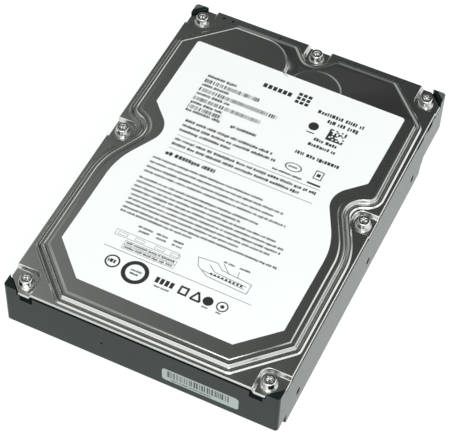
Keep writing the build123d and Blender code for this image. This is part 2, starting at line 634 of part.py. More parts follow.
BEAM_T = 0.15
BEAM_CORNERS = [
    (28.5, -2.3, 0.4), (36.0, -2.0, 2.0), (50.8, -0.45, 0.3),
    (50.8, 0.45, 0.3), (36.0, 2.0, 2.0), (28.5, 2.3, 0.4),
]
with BuildPart() as suspensions:
    for number, arm_z in enumerate(ARM_Z):
        if number < DISC_COUNT:
            arm_layer(BEAM_CORNERS, arm_z + ARM_T / 2, arm_z + ARM_T / 2 + BEAM_T)
        if number > 0:
            arm_layer(BEAM_CORNERS, arm_z - ARM_T / 2 - BEAM_T, arm_z - ARM_T / 2)
finish_part(suspensions, "suspensions")

SLIDER = box_corners(HEAD_REACH - 0.65, HEAD_REACH + 0.65, -0.5, 0.5, 0.1)
SLIDER_T = DISC_GAP / 2 - ARM_T / 2 - BEAM_T - CLEAR
with BuildPart() as head_sliders:
    for number, arm_z in enumerate(ARM_Z):
        face_z = arm_z + ARM_T / 2 + BEAM_T
        if number < DISC_COUNT:
            arm_layer(SLIDER, face_z, face_z + SLIDER_T)
        face_z = arm_z - ARM_T / 2 - BEAM_T
        if number > 0:
            arm_layer(SLIDER, face_z - SLIDER_T, face_z)
finish_part(head_sliders, "head_sliders")

FLEX_Y = 8.9
FLEX_Z = (10.5, 20.5)
with BuildPart() as arm_flex:
    arm_layer(box_corners(-6.0, 2.2, FLEX_Y, FLEX_Y + 0.2, 0.05), *FLEX_Z)
finish_part(arm_flex, "arm_flex")

with BuildPart() as preamp_chip:
    arm_layer(box_corners(-3.0, 1.2, FLEX_Y + 0.2, FLEX_Y + 0.8, 0.1), 13.0, 18.0)
finish_part(preamp_chip, "preamp_chip")

flex_start = arm_points([(-6.0, FLEX_Y + 0.1)])[0]
with BuildPart() as flex_cable:
    FLEX_MID = (FLEX_Z[0] + FLEX_Z[1]) / 2
    with BuildLine() as flex_route:
        FilletPolyline(
            (flex_start[0], flex_start[1], FLEX_MID),
            (flex_start[0] + 0.4, flex_start[1] + 3.6, FLEX_MID),
            (-4.0, 38.4, FLEX_MID),
            (-1.6, 35.4, FLEX_MID),
            (BRACKET[0], 35.4, FLEX_MID),
            radius=[2.4, 2.0, 1.6],
        )
    with BuildSketch(Plane(origin=flex_route.line @ 0, z_dir=flex_route.line % 0)):
        Rectangle(0.2, FLEX_Z[1] - FLEX_Z[0], rotation=0)
    sweep(path=flex_route.line)
finish_part(flex_cable, "flex_cable")

# ---- voice coil motor, crash stops and latch ----
MAGNET_Z = (11.4, 13.9)
TOP_MAGNET_Z = (17.1, 19.6)
TOP_PLATE_Z = 21.8
PLATE_LOW = 42.0
PLATE_HIGH = 117.0


def magnet_plate(label, z_low, z_high):
    """One steel plate of the voice coil motor, with ears for its three screws."""
    with BuildPart() as plate:
        with BuildSketch(Plane.XY.offset(z_low)) as face:
            sector(PIVOT, 15.0, 31.0, PLATE_LOW, PLATE_HIGH)
            with Locations(*EAR_POINTS):
                Circle(3.0)
            for index, ear in enumerate(EAR_POINTS):
                inner = polar(PIVOT, 25.0, (PLATE_HIGH - 6, PLATE_LOW + 6, 57.0)[index])
                run = Vector(ear[0] - inner[0], ear[1] - inner[1])
                middle = ((ear[0] + inner[0]) / 2, (ear[1] + inner[1]) / 2)
                slant = math.degrees(math.atan2(run.Y, run.X))
                with Locations(Location((*middle, 0), (0, 0, slant))):
                    Rectangle(run.length, 6.0)
            with Locations(*EAR_POINTS):
                Circle(1.25, mode=Mode.SUBTRACT)
        extrude(face.sketch, amount=z_high - z_low)
    finish_part(plate, label)


def magnet_pair(label, z_low, z_high):
    """Two magnet segments side by side, with a seam between their poles."""
    with BuildPart() as magnets:
        with BuildSketch(Plane.XY.offset(z_low)) as face:
            sector(PIVOT, 16.2, 29.6, PLATE_LOW + 3, 79.0)
            sector(PIVOT, 16.2, 29.6, 79.8, PLATE_HIGH - 3)
        extrude(face.sketch, amount=z_high - z_low)
    finish_part(magnets, label)


magnet_plate("lower_magnet_plate", PLATE_Z, MAGNET_Z[0])
magnet_pair("lower_magnets", *MAGNET_Z)
magnet_pair("upper_magnets", *TOP_MAGNET_Z)
magnet_plate("upper_magnet_plate", TOP_MAGNET_Z[1], TOP_PLATE_Z)

with BuildPart() as magnet_standoffs:
    tube(EAR_POINTS, 1.25, 2.3, MAGNET_Z[0], TOP_MAGNET_Z[1])
finish_part(magnet_standoffs, "magnet_standoffs")

with BuildPart() as magnet_screws:
    post(EAR_POINTS, 2.1, TOP_PLATE_Z, TOP_PLATE_Z + 1.0)
    post(EAR_POINTS, 1.15, FLOOR_UNDER + 1.0, TOP_PLATE_Z)
    with BuildSketch(Plane.XY.offset(TOP_PLATE_Z + 1.0)):
        with Locations(*EAR_POINTS):
            star(0.95)
    extrude(amount=-0.6, mode=Mode.SUBTRACT)
finish_part(magnet_screws, "magnet_screws")

with BuildPart() as floor_pins:
    post(STOP_POINTS, 0.85, FLOOR_UNDER + 1.0, 17.4)
    post([LATCH_PIN], 0.85, FLOOR_UNDER + 1.0, 18.0)
finish_part(floor_pins, "floor_pins")

with BuildPart() as crash_stop_sleeves:
    tube(STOP_POINTS, 0.87, 1.3, COIL_Z - 1.6, COIL_Z + 1.6)
finish_part(crash_stop_sleeves, "crash_stop_sleeves")

with BuildPart() as latch_arm:
    with BuildSketch(Plane.XY.offset(COIL_Z - 0.9)):
        with BuildLine() as latch_line:
            FilletPolyline(
                (-18.2, 67.4), (-30.2, 67.4), (-30.2, 63.9), (-28.6, 63.6), (-28.2, 65.2),
                (-18.2, 64.6),
                radius=[1.2, 0.5, 0.3, 0.8, 1.2, 1.2],
                close=True,
            )
        make_face()
        with Locations(LATCH_PIN):
            Circle(1.8)
            Circle(0.9, mode=Mode.SUBTRACT)
    extrude(amount=1.8)
finish_part(latch_arm, "latch_arm")

# ---- filters and flex bracket ----
FILTER_AT = Plane(origin=(35.3, 28.8, FLOOR_Z), x_dir=(1, 1, 0), z_dir=(0, 0, 1))
with BuildPart() as recirculation_filter:
    with BuildSketch(FILTER_AT):
        RectangleRounded(13.0, 3.0, 1.2)
    extrude(amount=9.0)
    fillet(recirculation_filter.edges().group_by(Axis.Z)[-1], 0.5)
finish_part(recirculation_filter, "recirculation_filter")

with BuildPart() as flex_bracket:
    layer(box_corners(*BRACKET, 0.8), FLOOR_Z, FLOOR_Z + 3.0)
    block(BRACKET[0], BRACKET[0] + 1.6, 33.0, 38.0, FLOOR_Z + 3.0, 20.5)
    post(BRACKET_SCREWS, 1.2, FLOOR_Z - 1, FLOOR_Z + 4, mode=Mode.SUBTRACT)
    block(4.0, 12.0, 33.0, 37.0, FLOOR_Z - 1, FLOOR_Z + 1.2, mode=Mode.SUBTRACT)
finish_part(flex_bracket, "flex_bracket")

with BuildPart() as flex_plug:
    block(4.05, 11.95, 33.05, 36.95, PCB_TOP + 0.05, FLOOR_Z + 1.2)
    with BuildSketch(Plane.XY.offset(PCB_TOP + 0.05)):
        with Locations((8.0, 35.0)):
            with GridLocations(0.8, 1.6, 8, 2):
                Rectangle(0.4, 0.6)
    extrude(amount=0.5, mode=Mode.SUBTRACT)
finish_part(flex_plug, "flex_plug")

with BuildPart() as bracket_screws:
    post(BRACKET_SCREWS, 1.7, FLOOR_Z + 3.0, FLOOR_Z + 3.9)
    post(BRACKET_SCREWS, 0.95, FLOOR_UNDER + 1.0, FLOOR_Z + 3.0)
    with BuildSketch(Plane.XY.offset(FLOOR_Z + 3.9)):
        with Locations(*BRACKET_SCREWS):
            star(0.75)
    extrude(amount=-0.5, mode=Mode.SUBTRACT)
finish_part(bracket_screws, "bracket_screws")

# ---- circuit board ----
PCB_HALF_W = 42.3
PCB_CORNERS = [
    (-PCB_HALF_W, -30.0, 1.5), (-18.6, -30.0, 1.0), (-18.6, -4.0, 15.0), (18.6, -4.0, 15.0),
    (18.6, -30.0, 1.0), (PCB_HALF_W, -30.0, 1.5), (PCB_HALF_W, 71.0, 1.5), (-PCB_HALF_W, 71.0, 1.5),
]
with BuildPart() as circuit_board:
    layer(PCB_CORNERS, PCB_Z, PCB_TOP)
    post(PCB_SCREWS, 1.15, PCB_Z - 1, PCB_TOP + 1, mode=Mode.SUBTRACT)
finish_part(circuit_board, "circuit_board")

FOAM_Z = (3.75, 4.55)
with BuildPart() as foam_sheet:
    layer(box_corners(-36.0, 36.0, -3.0, 62.0, 2.0), *FOAM_Z)
    post([SPINDLE], MOTOR_R + 1.5, 0, 6, mode=Mode.SUBTRACT)
    post(PCB_SCREWS, 3.4, 0, 6, mode=Mode.SUBTRACT)
    block(1.5, 14.5, 30.0, 40.0, 0, 6, mode=Mode.SUBTRACT)
finish_part(foam_sheet, "foam_sheet")

# Chips: x, y, two sides and height.
CHIPS = {
    "controller_chip": [(-14.0, 30.0, 16.0, 16.0, 1.2)],
    "memory_chips": [(-16.0, 49.5, 11.0, 8.0, 1.0), (-30.0, 40.0, 5.0, 4.0, 1.0)],
    "motor_driver_chip": [(22.0, 14.0, 9.0, 9.0, 1.0)],
}
for chip_name, bodies in CHIPS.items():
    with BuildPart() as chip:
        for x, y, size_x, size_y, height in bodies:
            layer(
                box_corners(x - size_x / 2, x + size_x / 2, y - size_y / 2, y + size_y / 2, 0.3),
                PCB_TOP, PCB_TOP + height,
            )
        chamfer(chip.edges().group_by(Axis.Z)[-1], 0.12)
    finish_part(chip, chip_name)

with BuildPart() as crystal:
    layer(box_corners(-33.5, -30.5, 22.0, 32.0, 1.4), PCB_TOP, PCB_TOP + 1.3)
    fillet(crystal.edges().group_by(Axis.Z)[-1], 0.4)
finish_part(crystal, "crystal")

with BuildPart() as small_parts:
    with Locations((27.0, 30.0, PCB_TOP + 0.4)):
        with GridLocations(3.4, 2.6, 3, 4):
            Box(1.8, 1.1, 0.8)
    with Locations((-29.5, 10.0, PCB_TOP + 0.4)):
        with GridLocations(2.6, 3.4, 3, 3):
            Box(1.0, 1.8, 0.8)
    with Locations((14.0, 50.0, PCB_TOP + 0.75)):
        with GridLocations(8.0, 6.0, 2, 2):
            Box(5.6, 3.6, 1.5)
    with Locations((0.0, 8.0, PCB_TOP + 0.4)):
        with GridLocations(3.0, 2.4, 6, 2):
            Box(1.6, 0.9, 0.8)
finish_part(small_parts, "small_parts")

with BuildPart() as motor_contacts:
    with Locations((0.0, 1.0, PCB_TOP + 0.8)):
        with GridLocations(2.4, 1.0, 4, 1):
            Box(1.2, 3.0, 1.6)
finish_part(motor_contacts, "motor_contacts")

with BuildPart() as board_screws:
    post(PCB_SCREWS, 2.3, PCB_Z - 0.8, PCB_Z)
    post(PCB_SCREWS, 1.0, PCB_Z, FLOOR_Z - 1.2)
    with BuildSketch(Plane.XY.offset(PCB_Z - 0.8)):
        with Locations(*PCB_SCREWS):
            star(1.0)
    extrude(amount=0.5, mode=Mode.SUBTRACT)
finish_part(board_screws, "board_screws")

# ---- connectors on the rear end ----
SATA_PITCH = 1.27
SATA_BACK = 64.0
SATA_WALL = 67.6
SATA_MOUTH = 73.2
TONGUE_END = 72.4
SATA_TOP = 8.7
TONGUE_Z = (5.0, 6.2)
POWER_X = (SATA_X - 2.6, SATA_X + 18.2)   # power tongue
DATA_X = (SATA_X - 16.2, SATA_X - 5.6)    # data tongue
KEY_W = 1.3                         # the key at one end of each tongue
POWER_PINS = 15
DATA_PINS = 7
with BuildPart() as sata_housing:
    block(SATA_X - SATA_HALF, SATA_X + SATA_HALF, SATA_BACK, SATA_WALL, PCB_TOP, SATA_TOP)
    for x_low, x_high in (
        (SATA_X - SATA_HALF, DATA_X[0] - 1.9),
        (DATA_X[1] + 1.0, POWER_X[0] - 1.0),
        (POWER_X[1] + 1.2, SATA_X + SATA_HALF),
    ):
        layer(
            box_corners(x_low, x_high, SATA_WALL - 1.0, SATA_MOUTH, 0.2),
            PCB_TOP + 1.0, SATA_TOP,
        )
    for x_low, x_high in (POWER_X, DATA_X):
        block(x_low, x_high, SATA_WALL - 0.5, TONGUE_END, *TONGUE_Z)
        block(
            x_high - KEY_W, x_high, SATA_WALL - 0.5, TONGUE_END, TONGUE_Z[0] - 1.6, TONGUE_Z[1]
        )
    block(
        SATA_X - SATA_HALF, SATA_X + SATA_HALF, SATA_WALL - 1, SATA_MOUTH,
        PCB_TOP + 1.0, PCB_TOP + 1.1,
    )
finish_part(sata_housing, "sata_housing")


def contact_row(x_middle, count, length):
    """Flat contacts along the top of one tongue."""
    with Locations((x_middle, SATA_WALL + length / 2, TONGUE_Z[1] + 0.05)):
        with GridLocations(SATA_PITCH, 1.0, count, 1):
            Box(0.76, length, 0.1)


with BuildPart() as power_contacts:
    contact_row((POWER_X[0] + POWER_X[1]) / 2, POWER_PINS, 4.2)
finish_part(power_contacts, "power_contacts")

with BuildPart() as data_contacts:
    contact_row((DATA_X[0] + DATA_X[1]) / 2, DATA_PINS, 4.2)
finish_part(data_contacts, "data_contacts")

JUMPER_X = -9.5
with BuildPart() as jumper_block:
    block(JUMPER_X - 4.4, JUMPER_X + 4.4, 65.5, 68.0, PCB_TOP, 7.4)
    with Locations((JUMPER_X, 68.0 - 1.25, 4.9)):
        with GridLocations(2.0, 1.0, 4, 1):
            with Locations((0, 0, -1.0), (0, 0, 1.0)):
                Box(0.52, 3.0, 0.52, mode=Mode.SUBTRACT)
finish_part(jumper_block, "jumper_block")

with BuildPart() as jumper_pins:
    with Locations((JUMPER_X, 69.1, 4.9)):
        with GridLocations(2.0, 1.0, 4, 1):
            with Locations((0, 0, -1.0), (0, 0, 1.0)):
                Box(0.5, 7.2, 0.5)
    chamfer(jumper_pins.faces().group_by(Axis.Y)[-1].edges(), 0.12)
finish_part(jumper_pins, "jumper_pins")
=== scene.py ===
import json
import math
import random

import bpy
import numpy as np
from mathutils import Matrix, Vector
from mathutils.geometry import delaunay_2d_cdt


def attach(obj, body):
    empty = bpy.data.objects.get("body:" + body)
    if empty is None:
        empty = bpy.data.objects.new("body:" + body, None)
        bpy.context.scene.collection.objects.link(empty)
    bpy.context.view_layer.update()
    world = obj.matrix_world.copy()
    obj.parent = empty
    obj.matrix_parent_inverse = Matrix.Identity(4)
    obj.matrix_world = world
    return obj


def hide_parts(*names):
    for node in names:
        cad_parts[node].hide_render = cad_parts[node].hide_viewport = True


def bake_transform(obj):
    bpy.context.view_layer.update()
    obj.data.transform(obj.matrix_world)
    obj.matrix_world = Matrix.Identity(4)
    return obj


# Hard disk drive. Shapes are worked out in millimetres in the drive's frame and made in metres.
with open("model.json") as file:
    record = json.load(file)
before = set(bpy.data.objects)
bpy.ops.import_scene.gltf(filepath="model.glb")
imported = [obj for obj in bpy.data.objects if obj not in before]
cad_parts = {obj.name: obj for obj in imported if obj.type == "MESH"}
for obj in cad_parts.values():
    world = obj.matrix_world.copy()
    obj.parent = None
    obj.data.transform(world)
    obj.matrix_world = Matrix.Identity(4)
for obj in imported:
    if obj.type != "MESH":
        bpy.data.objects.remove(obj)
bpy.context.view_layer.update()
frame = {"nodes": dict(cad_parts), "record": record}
nodes = frame["nodes"]
MM = 0.001

# ---- driving sizes ----
HALF_W = 50.8
HALF_L = 73.5
LABEL_Z = 26.1                      # top of the cover's label
FLANGE_Z = 24.4                     # top of the cover's rim
POST_Z = 24.3                       # top of the corner posts
POST_LEG = 5.0                      # legs of the triangular corner posts
# The corner posts stand outside a line on which |x| + |y| is constant.
POST_LINE = HALF_W + HALF_L - POST_LEG

# ---- camera ----
IMAGE_W = 450
FOCAL_PIXELS = 1767.1
SENSOR = 36.0
CAMERA_AZIMUTH = math.radians(23.99)
CAMERA_ELEVATION = math.radians(52.25)
CAMERA_ROLL = math.radians(2.18)
CAMERA_DISTANCE = 0.6233
CAMERA_TARGET = Vector((-0.00226, -0.00739, 0.013))
CAMERA_SHIFT = (0.01305, -0.0013)


def add_camera():
    """Camera at the photograph's angle, looking down over the front right corner."""
    back = Vector((
        math.sin(CAMERA_AZIMUTH) * math.cos(CAMERA_ELEVATION),
        -math.cos(CAMERA_AZIMUTH) * math.cos(CAMERA_ELEVATION),
        math.sin(CAMERA_ELEVATION),
    ))
    right = Vector((0, 0, 1)).cross(back).normalized()
    up = back.cross(right)
    rolled_right = right * math.cos(CAMERA_ROLL) + up * math.sin(CAMERA_ROLL)
    rolled_up = up * math.cos(CAMERA_ROLL) - right * math.sin(CAMERA_ROLL)
    turn = Matrix((rolled_right, rolled_up, back)).transposed()
    data = bpy.data.cameras.new("camera")
    data.sensor_width = SENSOR
    data.lens = FOCAL_PIXELS / IMAGE_W * SENSOR
    data.shift_x, data.shift_y = CAMERA_SHIFT
    camera = bpy.data.objects.new("camera", data)
    camera.matrix_world = Matrix.Translation(CAMERA_TARGET + back * CAMERA_DISTANCE) @ turn.to_4x4()
    bpy.context.scene.collection.objects.link(camera)
    bpy.context.scene.camera = camera


# ---- node helpers ----
def add_node(tree, kind, **values):
    """A shader node with its settings, and its inputs given by name."""
    node = tree.nodes.new(kind)
    for key, value in values.items():
        if key in node.inputs:
            node.inputs[key].default_value = value
        else:
            setattr(node, key, value)
    return node


def map_range(tree, source, from_low, from_high, to_low, to_high, smooth=False):
    """Maps a value from one range to another."""
    node = tree.nodes.new("ShaderNodeMapRange")
    node.interpolation_type = "SMOOTHSTEP" if smooth else "LINEAR"
    for index, value in enumerate((from_low, from_high, to_low, to_high)):
        node.inputs[index + 1].default_value = value
    tree.links.new(source, node.inputs[0])
    return node.outputs[0]


def mix_colors(tree, factor, first, second):
    """Mixes two plain colours by a factor."""
    node = add_node(tree, "ShaderNodeMix", data_type="RGBA")
    node.inputs[6].default_value = (*first, 1)
    node.inputs[7].default_value = (*second, 1)
    tree.links.new(factor, node.inputs[0])
    return node.outputs[2]


# ---- light ----
SKY_COLOR = (0.965, 1.0, 0.985, 1)
SKY_BASE = 0.05
# Soft bright areas of the studio: direction, cosines of the outer and inner edge, strength.
SKY_AREAS = [
    ((0.06, -0.90, 0.43), 0.52, 0.95, 1.5),
    ((0.80, 0.42, 0.38), 0.72, 0.95, 1.6),
    ((0.78, -0.42, 0.46), 0.72, 0.97, 1.05),
    ((-0.66, 0.14, 0.73), 0.785, 1.0, 0.58),
    ((0.0, 0.0, -1.0), -0.05, 0.15, 0.80),
]
KEY_PLACE = (0.35, -0.9, 1.1)
KEY_SIZE = 0.9
KEY_POWER = 12.0
FLOOR_HALF = 3.0
FLOOR_Z = -0.0001
FLOOR_COLOR = (0.25, 0.25, 0.25, 1)
FLOOR_GLOW = (0.95, 1, 0.965, 1)
FLOOR_GLOW_STRENGTH = 0.85


def add_world():
    """A dim studio with soft bright areas in front, right, overhead on the left and below."""
    world = bpy.data.worlds.new("studio")
    bpy.context.scene.world = world
    world.use_nodes = True
    tree = world.node_tree
    coords = tree.nodes.new("ShaderNodeTexCoord")
    total = None
    for direction, outer, inner, strength in SKY_AREAS:
        toward = add_node(tree, "ShaderNodeVectorMath", operation="DOT_PRODUCT")
        toward.inputs[1].default_value = Vector(direction).normalized()
        tree.links.new(coords.outputs["Generated"], toward.inputs[0])
        part = map_range(tree, toward.outputs["Value"], outer, inner, 0.0, strength, smooth=True)
        add = add_node(tree, "ShaderNodeMath", operation="ADD")
        add.inputs[1].default_value = SKY_BASE
        tree.links.new(part, add.inputs[0])
        if total is not None:
            tree.links.new(total, add.inputs[1])
        total = add.outputs[0]
    tree.links.new(total, tree.nodes["Background"].inputs["Strength"])
    tree.nodes["Background"].inputs["Color"].default_value = SKY_COLOR


def add_softbox():
    """A square soft light that faces the drive."""
    data = bpy.data.lights.new("key_softbox", "AREA")
    data.size = KEY_SIZE
    data.energy = KEY_POWER
    light = bpy.data.objects.new("key_softbox", data)
    light.location = KEY_PLACE
    light.rotation_euler = (-Vector(KEY_PLACE)).to_track_quat("-Z", "Y").to_euler()
    bpy.context.scene.collection.objects.link(light)


def add_floor():
    """A plain white floor, seen only from above."""
    mesh = bpy.data.meshes.new("floor")
    corners = ((-1, -1), (1, -1), (1, 1), (-1, 1))
    mesh.from_pydata(
        [(x * FLOOR_HALF, y * FLOOR_HALF, FLOOR_Z) for x, y in corners], [], [(0, 1, 2, 3)]
    )
    floor = bpy.data.objects.new("floor", mesh)
    bpy.context.scene.collection.objects.link(floor)
    material = bpy.data.materials.new("floor_white")
    material.use_nodes = True
    tree = material.node_tree
    shader = tree.nodes["Principled BSDF"]
    shader.inputs["Base Color"].default_value = FLOOR_COLOR
    shader.inputs["Roughness"].default_value = 0.9
    shader.inputs["Emission Color"].default_value = FLOOR_GLOW
    shader.inputs["Emission Strength"].default_value = FLOOR_GLOW_STRENGTH
    side = tree.nodes.new("ShaderNodeNewGeometry")
    clear = tree.nodes.new("ShaderNodeBsdfTransparent")
    mix = tree.nodes.new("ShaderNodeMixShader")
    tree.links.new(side.outputs["Backfacing"], mix.inputs["Fac"])
    tree.links.new(shader.outputs["BSDF"], mix.inputs[1])
    tree.links.new(clear.outputs["BSDF"], mix.inputs[2])
    tree.links.new(mix.outputs["Shader"], tree.nodes["Material Output"].inputs["Surface"])
    mesh.materials.append(material)


bpy.context.scene.view_settings.view_transform = "Standard"
add_camera()
add_world()
add_softbox()
add_floor()


# ---- materials ----
SPECK_RANGE = (0.3, 0.7)            # of the noise that roughens a surface
SMOOTHEST = 0.02


def surface(
    name, color, roughness, metallic=0.0, tint=0.06, blotch=8.0, grain=0.25,
    relief=0.01, spread=0.06, coat=0.0, ior=1.5, stretch=1.0,
):
    """A material with cloudy colour, grainy roughness and fine relief, in millimetres.

    A stretch over 1 draws the clouds out into streaks along X.
    """
    material = bpy.data.materials.new(name)
    material.use_nodes = True
    tree = material.node_tree
    shader = tree.nodes["Principled BSDF"]
    shader.inputs["Metallic"].default_value = metallic
    shader.inputs["IOR"].default_value = ior
    shader.inputs["Coat Weight"].default_value = coat
    coords = tree.nodes.new("ShaderNodeTexCoord")
    cloud = add_node(tree, "ShaderNodeTexNoise", Scale=1 / (blotch * MM), Detail=4.0)
    speck = add_node(tree, "ShaderNodeTexNoise", Scale=1 / (grain * MM), Detail=2.0)
    streaks = add_node(tree, "ShaderNodeMapping", Scale=(1 / stretch, 1.0, 1.0))
    tree.links.new(coords.outputs["Object"], streaks.inputs["Vector"])
    tree.links.new(streaks.outputs["Vector"], cloud.inputs["Vector"])
    tree.links.new(coords.outputs["Object"], speck.inputs["Vector"])
    dark = [channel * (1 - tint) for channel in color]
    light = [min(1.0, channel * (1 + tint)) for channel in color]
    shade = mix_colors(tree, cloud.outputs["Fac"], dark, light)
    tree.links.new(shade, shader.inputs["Base Color"])
    rough = map_range(
        tree, speck.outputs["Fac"], *SPECK_RANGE,
        max(SMOOTHEST, roughness - spread), roughness + spread,
    )
    tree.links.new(rough, shader.inputs["Roughness"])
    bump = add_node(tree, "ShaderNodeBump", Strength=1.0, Distance=relief * MM)
    tree.links.new(speck.outputs["Fac"], bump.inputs["Height"])
    tree.links.new(bump.outputs["Normal"], shader.inputs["Normal"])
    return material


MATERIALS = {
    "cover_steel": surface(
        "cover_steel", (0.54, 0.548, 0.532), 0.25, metallic=1.0, tint=0.03, blotch=2.5,
        grain=0.4, relief=0.0002, spread=0.015, stretch=14.0,
    ),
    "coated_base": surface(
        "coated_base", (0.009, 0.014, 0.014), 0.2, tint=0.25, blotch=3.0, grain=0.5,
        relief=0.002, spread=0.04, ior=1.28,
    ),
    "label_paper": surface(
        "label_paper", (0.86, 0.885, 0.87), 0.42, tint=0.01, blotch=20.0, grain=0.12,
        relief=0.002,
    ),
    "side_label_paper": surface(
        "side_label_paper", (0.27, 0.305, 0.295), 0.45, tint=0.02, blotch=9.0, relief=0.002,
    ),
    "print_ink": surface("print_ink", (0.022, 0.023, 0.024), 0.45, tint=0.2, relief=0.002),
    "screw_steel": surface(
        "screw_steel", (0.66, 0.66, 0.64), 0.18, metallic=1.0, tint=0.05, blotch=1.5,
        grain=0.2, relief=0.003, spread=0.06,
    ),
    "black_rubber": surface("black_rubber", (0.012, 0.012, 0.012), 0.6, grain=0.3, relief=0.01),
    "filter_cloth": surface("filter_cloth", (0.78, 0.78, 0.75), 0.9, grain=0.15, relief=0.08),
    "bearing_steel": surface(
        "bearing_steel", (0.62, 0.62, 0.63), 0.2, metallic=1.0, blotch=2.0, relief=0.002,
    ),
    "core_steel": surface("core_steel", (0.20, 0.21, 0.24), 0.45, metallic=0.8, relief=0.01),
    "copper_wire": surface(
        "copper_wire", (0.62, 0.24, 0.09), 0.3, metallic=1.0, tint=0.15, blotch=1.0, relief=0.02,
    ),
    "machined_aluminium": surface(
        "machined_aluminium", (0.78, 0.79, 0.80), 0.28, metallic=1.0, blotch=6.0, relief=0.003,
    ),
    "magnet_ring": surface("magnet_ring", (0.06, 0.06, 0.065), 0.5, relief=0.006),
    "disc_mirror": surface(
        "disc_mirror", (0.84, 0.85, 0.86), 0.04, metallic=1.0, tint=0.01, relief=0.0002,
        spread=0.01,
    ),
    "nickel_plate": surface(
        "nickel_plate", (0.66, 0.64, 0.60), 0.22, metallic=1.0, blotch=5.0, relief=0.002,
    ),
    "coil_plastic": surface("coil_plastic", (0.03, 0.03, 0.03), 0.5, grain=0.2, relief=0.01),
    "flex_amber": surface("flex_amber", (0.42, 0.17, 0.02), 0.25, tint=0.1, coat=0.3),
    "chip_black": surface("chip_black", (0.018, 0.018, 0.02), 0.5, grain=0.12, relief=0.006),
    "connector_black": surface("connector_black", (0.015, 0.015, 0.016), 0.32, relief=0.004),
    "board_green": surface(
        "board_green", (0.008, 0.075, 0.035), 0.28, tint=0.15, blotch=2.5, relief=0.004, coat=0.3,
    ),
    "board_line": surface(
        "board_line", (0.02, 0.15, 0.06), 0.25, tint=0.1, blotch=2.5, relief=0.004, coat=0.3,
    ),
    "foam_grey": surface("foam_grey", (0.05, 0.05, 0.05), 0.95, grain=0.3, relief=0.08),
    "gold_contact": surface("gold_contact", (0.90, 0.62, 0.22), 0.2, metallic=1.0, blotch=1.0),
    "part_tan": surface("part_tan", (0.36, 0.22, 0.11), 0.5, tint=0.2, blotch=1.0),
    "tin_can": surface("tin_can", (0.70, 0.70, 0.69), 0.25, metallic=1.0, blotch=2.0),
}

# Painted reflection: a lighter grey on the top faces of the rear corner posts, with a black strip of
# painted shade along their inner edge.
POST_REFLECTION_GREY = (0.10, 0.105, 0.105)
POST_EDGE_W = 1.5                   # strip left black as painted shade along the inner edge, measured along |x| + |y|
POST_TOP_BAND = 0.05


def add_painted_reflection_to_post_tops(material):
    """Paints a lighter grey on the tops of the two rear corner posts as a painted reflection, but for
    a strip along their inner edge that stays black as painted shade.
    """
    tree = material.node_tree
    shader = tree.nodes["Principled BSDF"]
    coords = tree.nodes.new("ShaderNodeTexCoord")
    split = tree.nodes.new("ShaderNodeSeparateXYZ")
    tree.links.new(coords.outputs["Object"], split.inputs["Vector"])
    across = add_node(tree, "ShaderNodeMath", operation="ABSOLUTE")
    tree.links.new(split.outputs["X"], across.inputs[0])
    outward = add_node(tree, "ShaderNodeMath", operation="ADD")
    tree.links.new(across.outputs[0], outward.inputs[0])
    tree.links.new(split.outputs["Y"], outward.inputs[1])
    factor = add_node(tree, "ShaderNodeMath", operation="MULTIPLY")
    for index, (source, limit) in enumerate((
        (outward.outputs[0], POST_LINE + POST_EDGE_W),
        (split.outputs["Z"], POST_Z - POST_TOP_BAND),
    )):
        beyond = add_node(tree, "ShaderNodeMath", operation="GREATER_THAN")
        beyond.inputs[1].default_value = limit * MM
        tree.links.new(source, beyond.inputs[0])
        tree.links.new(beyond.outputs[0], factor.inputs[index])
    mix = add_node(tree, "ShaderNodeMix", data_type="RGBA")
    mix.inputs[7].default_value = (*POST_REFLECTION_GREY, 1)
    tree.links.new(factor.outputs[0], mix.inputs[0])
    tree.links.new(shader.inputs["Base Color"].links[0].from_socket, mix.inputs[6])
    tree.links.new(mix.outputs[2], shader.inputs["Base Color"])


# Painted reflection on the rear post tops, with painted shade along their inner edge.
add_painted_reflection_to_post_tops(MATERIALS["coated_base"])


def paint(piece, name):
    """Gives a piece one material."""
    piece.data.materials.clear()
    piece.data.materials.append(MATERIALS[name])


slot_of = {row["node"]: row["material_slot"] for row in frame["record"]["subparts"]}
for node_name, node_object in nodes.items():
    paint(node_object, slot_of[node_name])
paint(nodes["front_barcode_label"], "side_label_paper")

# ---- cover shapes ----
# Outline of the outer bead's crest, anticlockwise: x, y and corner radius.
BEAD_RIGHT = [
    (31.5, -71.2, 2.5), (48.7, -54.0, 2.5), (48.7, -10.4, 28.0),
    (39.05, 8.9, 5.0), (48.7, 13.0, 5.5),
]
BEAD_REAR = [
    (48.3, 53.9, 4.5), (32.3, 69.9, 2.5), (9.0, 69.9, 2.5), (3.4, 63.6, 5.0),
    (-1.8, 63.6, 5.0), (-7.4, 69.9, 2.5), (-32.1, 69.9, 2.5), (-48.7, 53.3, 2.5),
]
BEAD_LEFT = [(-x, y, r) for x, y, r in reversed(BEAD_RIGHT)]
BEAD_OUTLINE = BEAD_RIGHT + BEAD_REAR + BEAD_LEFT
PANEL_REAR = [
    (48.3, 56.3, 4.1), (-4.5, 56.3, 1.0), (-4.5, 69.4, 13.6), (-32.1, 69.4, 2.5),
    (-48.7, 52.8, 2.5),
]
PANEL_OUTLINE = BEAD_RIGHT + PANEL_REAR + BEAD_LEFT
SHEET_T = 1.0
PAD_DEPTH = 1.6
PAD_WALL = 1.1
PAD_Z = FLANGE_Z - PAD_DEPTH
RIM_R = 0.3
# Height over the rim against the distance inwards from each outline.
BEAD_STEPS = [
    (-0.9, 0.0), (-0.15, 0.54), (0.15, 0.54), (1.1, 0.25), (1.3, 0.25), (2.4, 0.45),
]
PANEL_H = 1.15
PANEL_RISE = (1.22, 2.02)
PANEL_FALL = (2.05, 2.5)
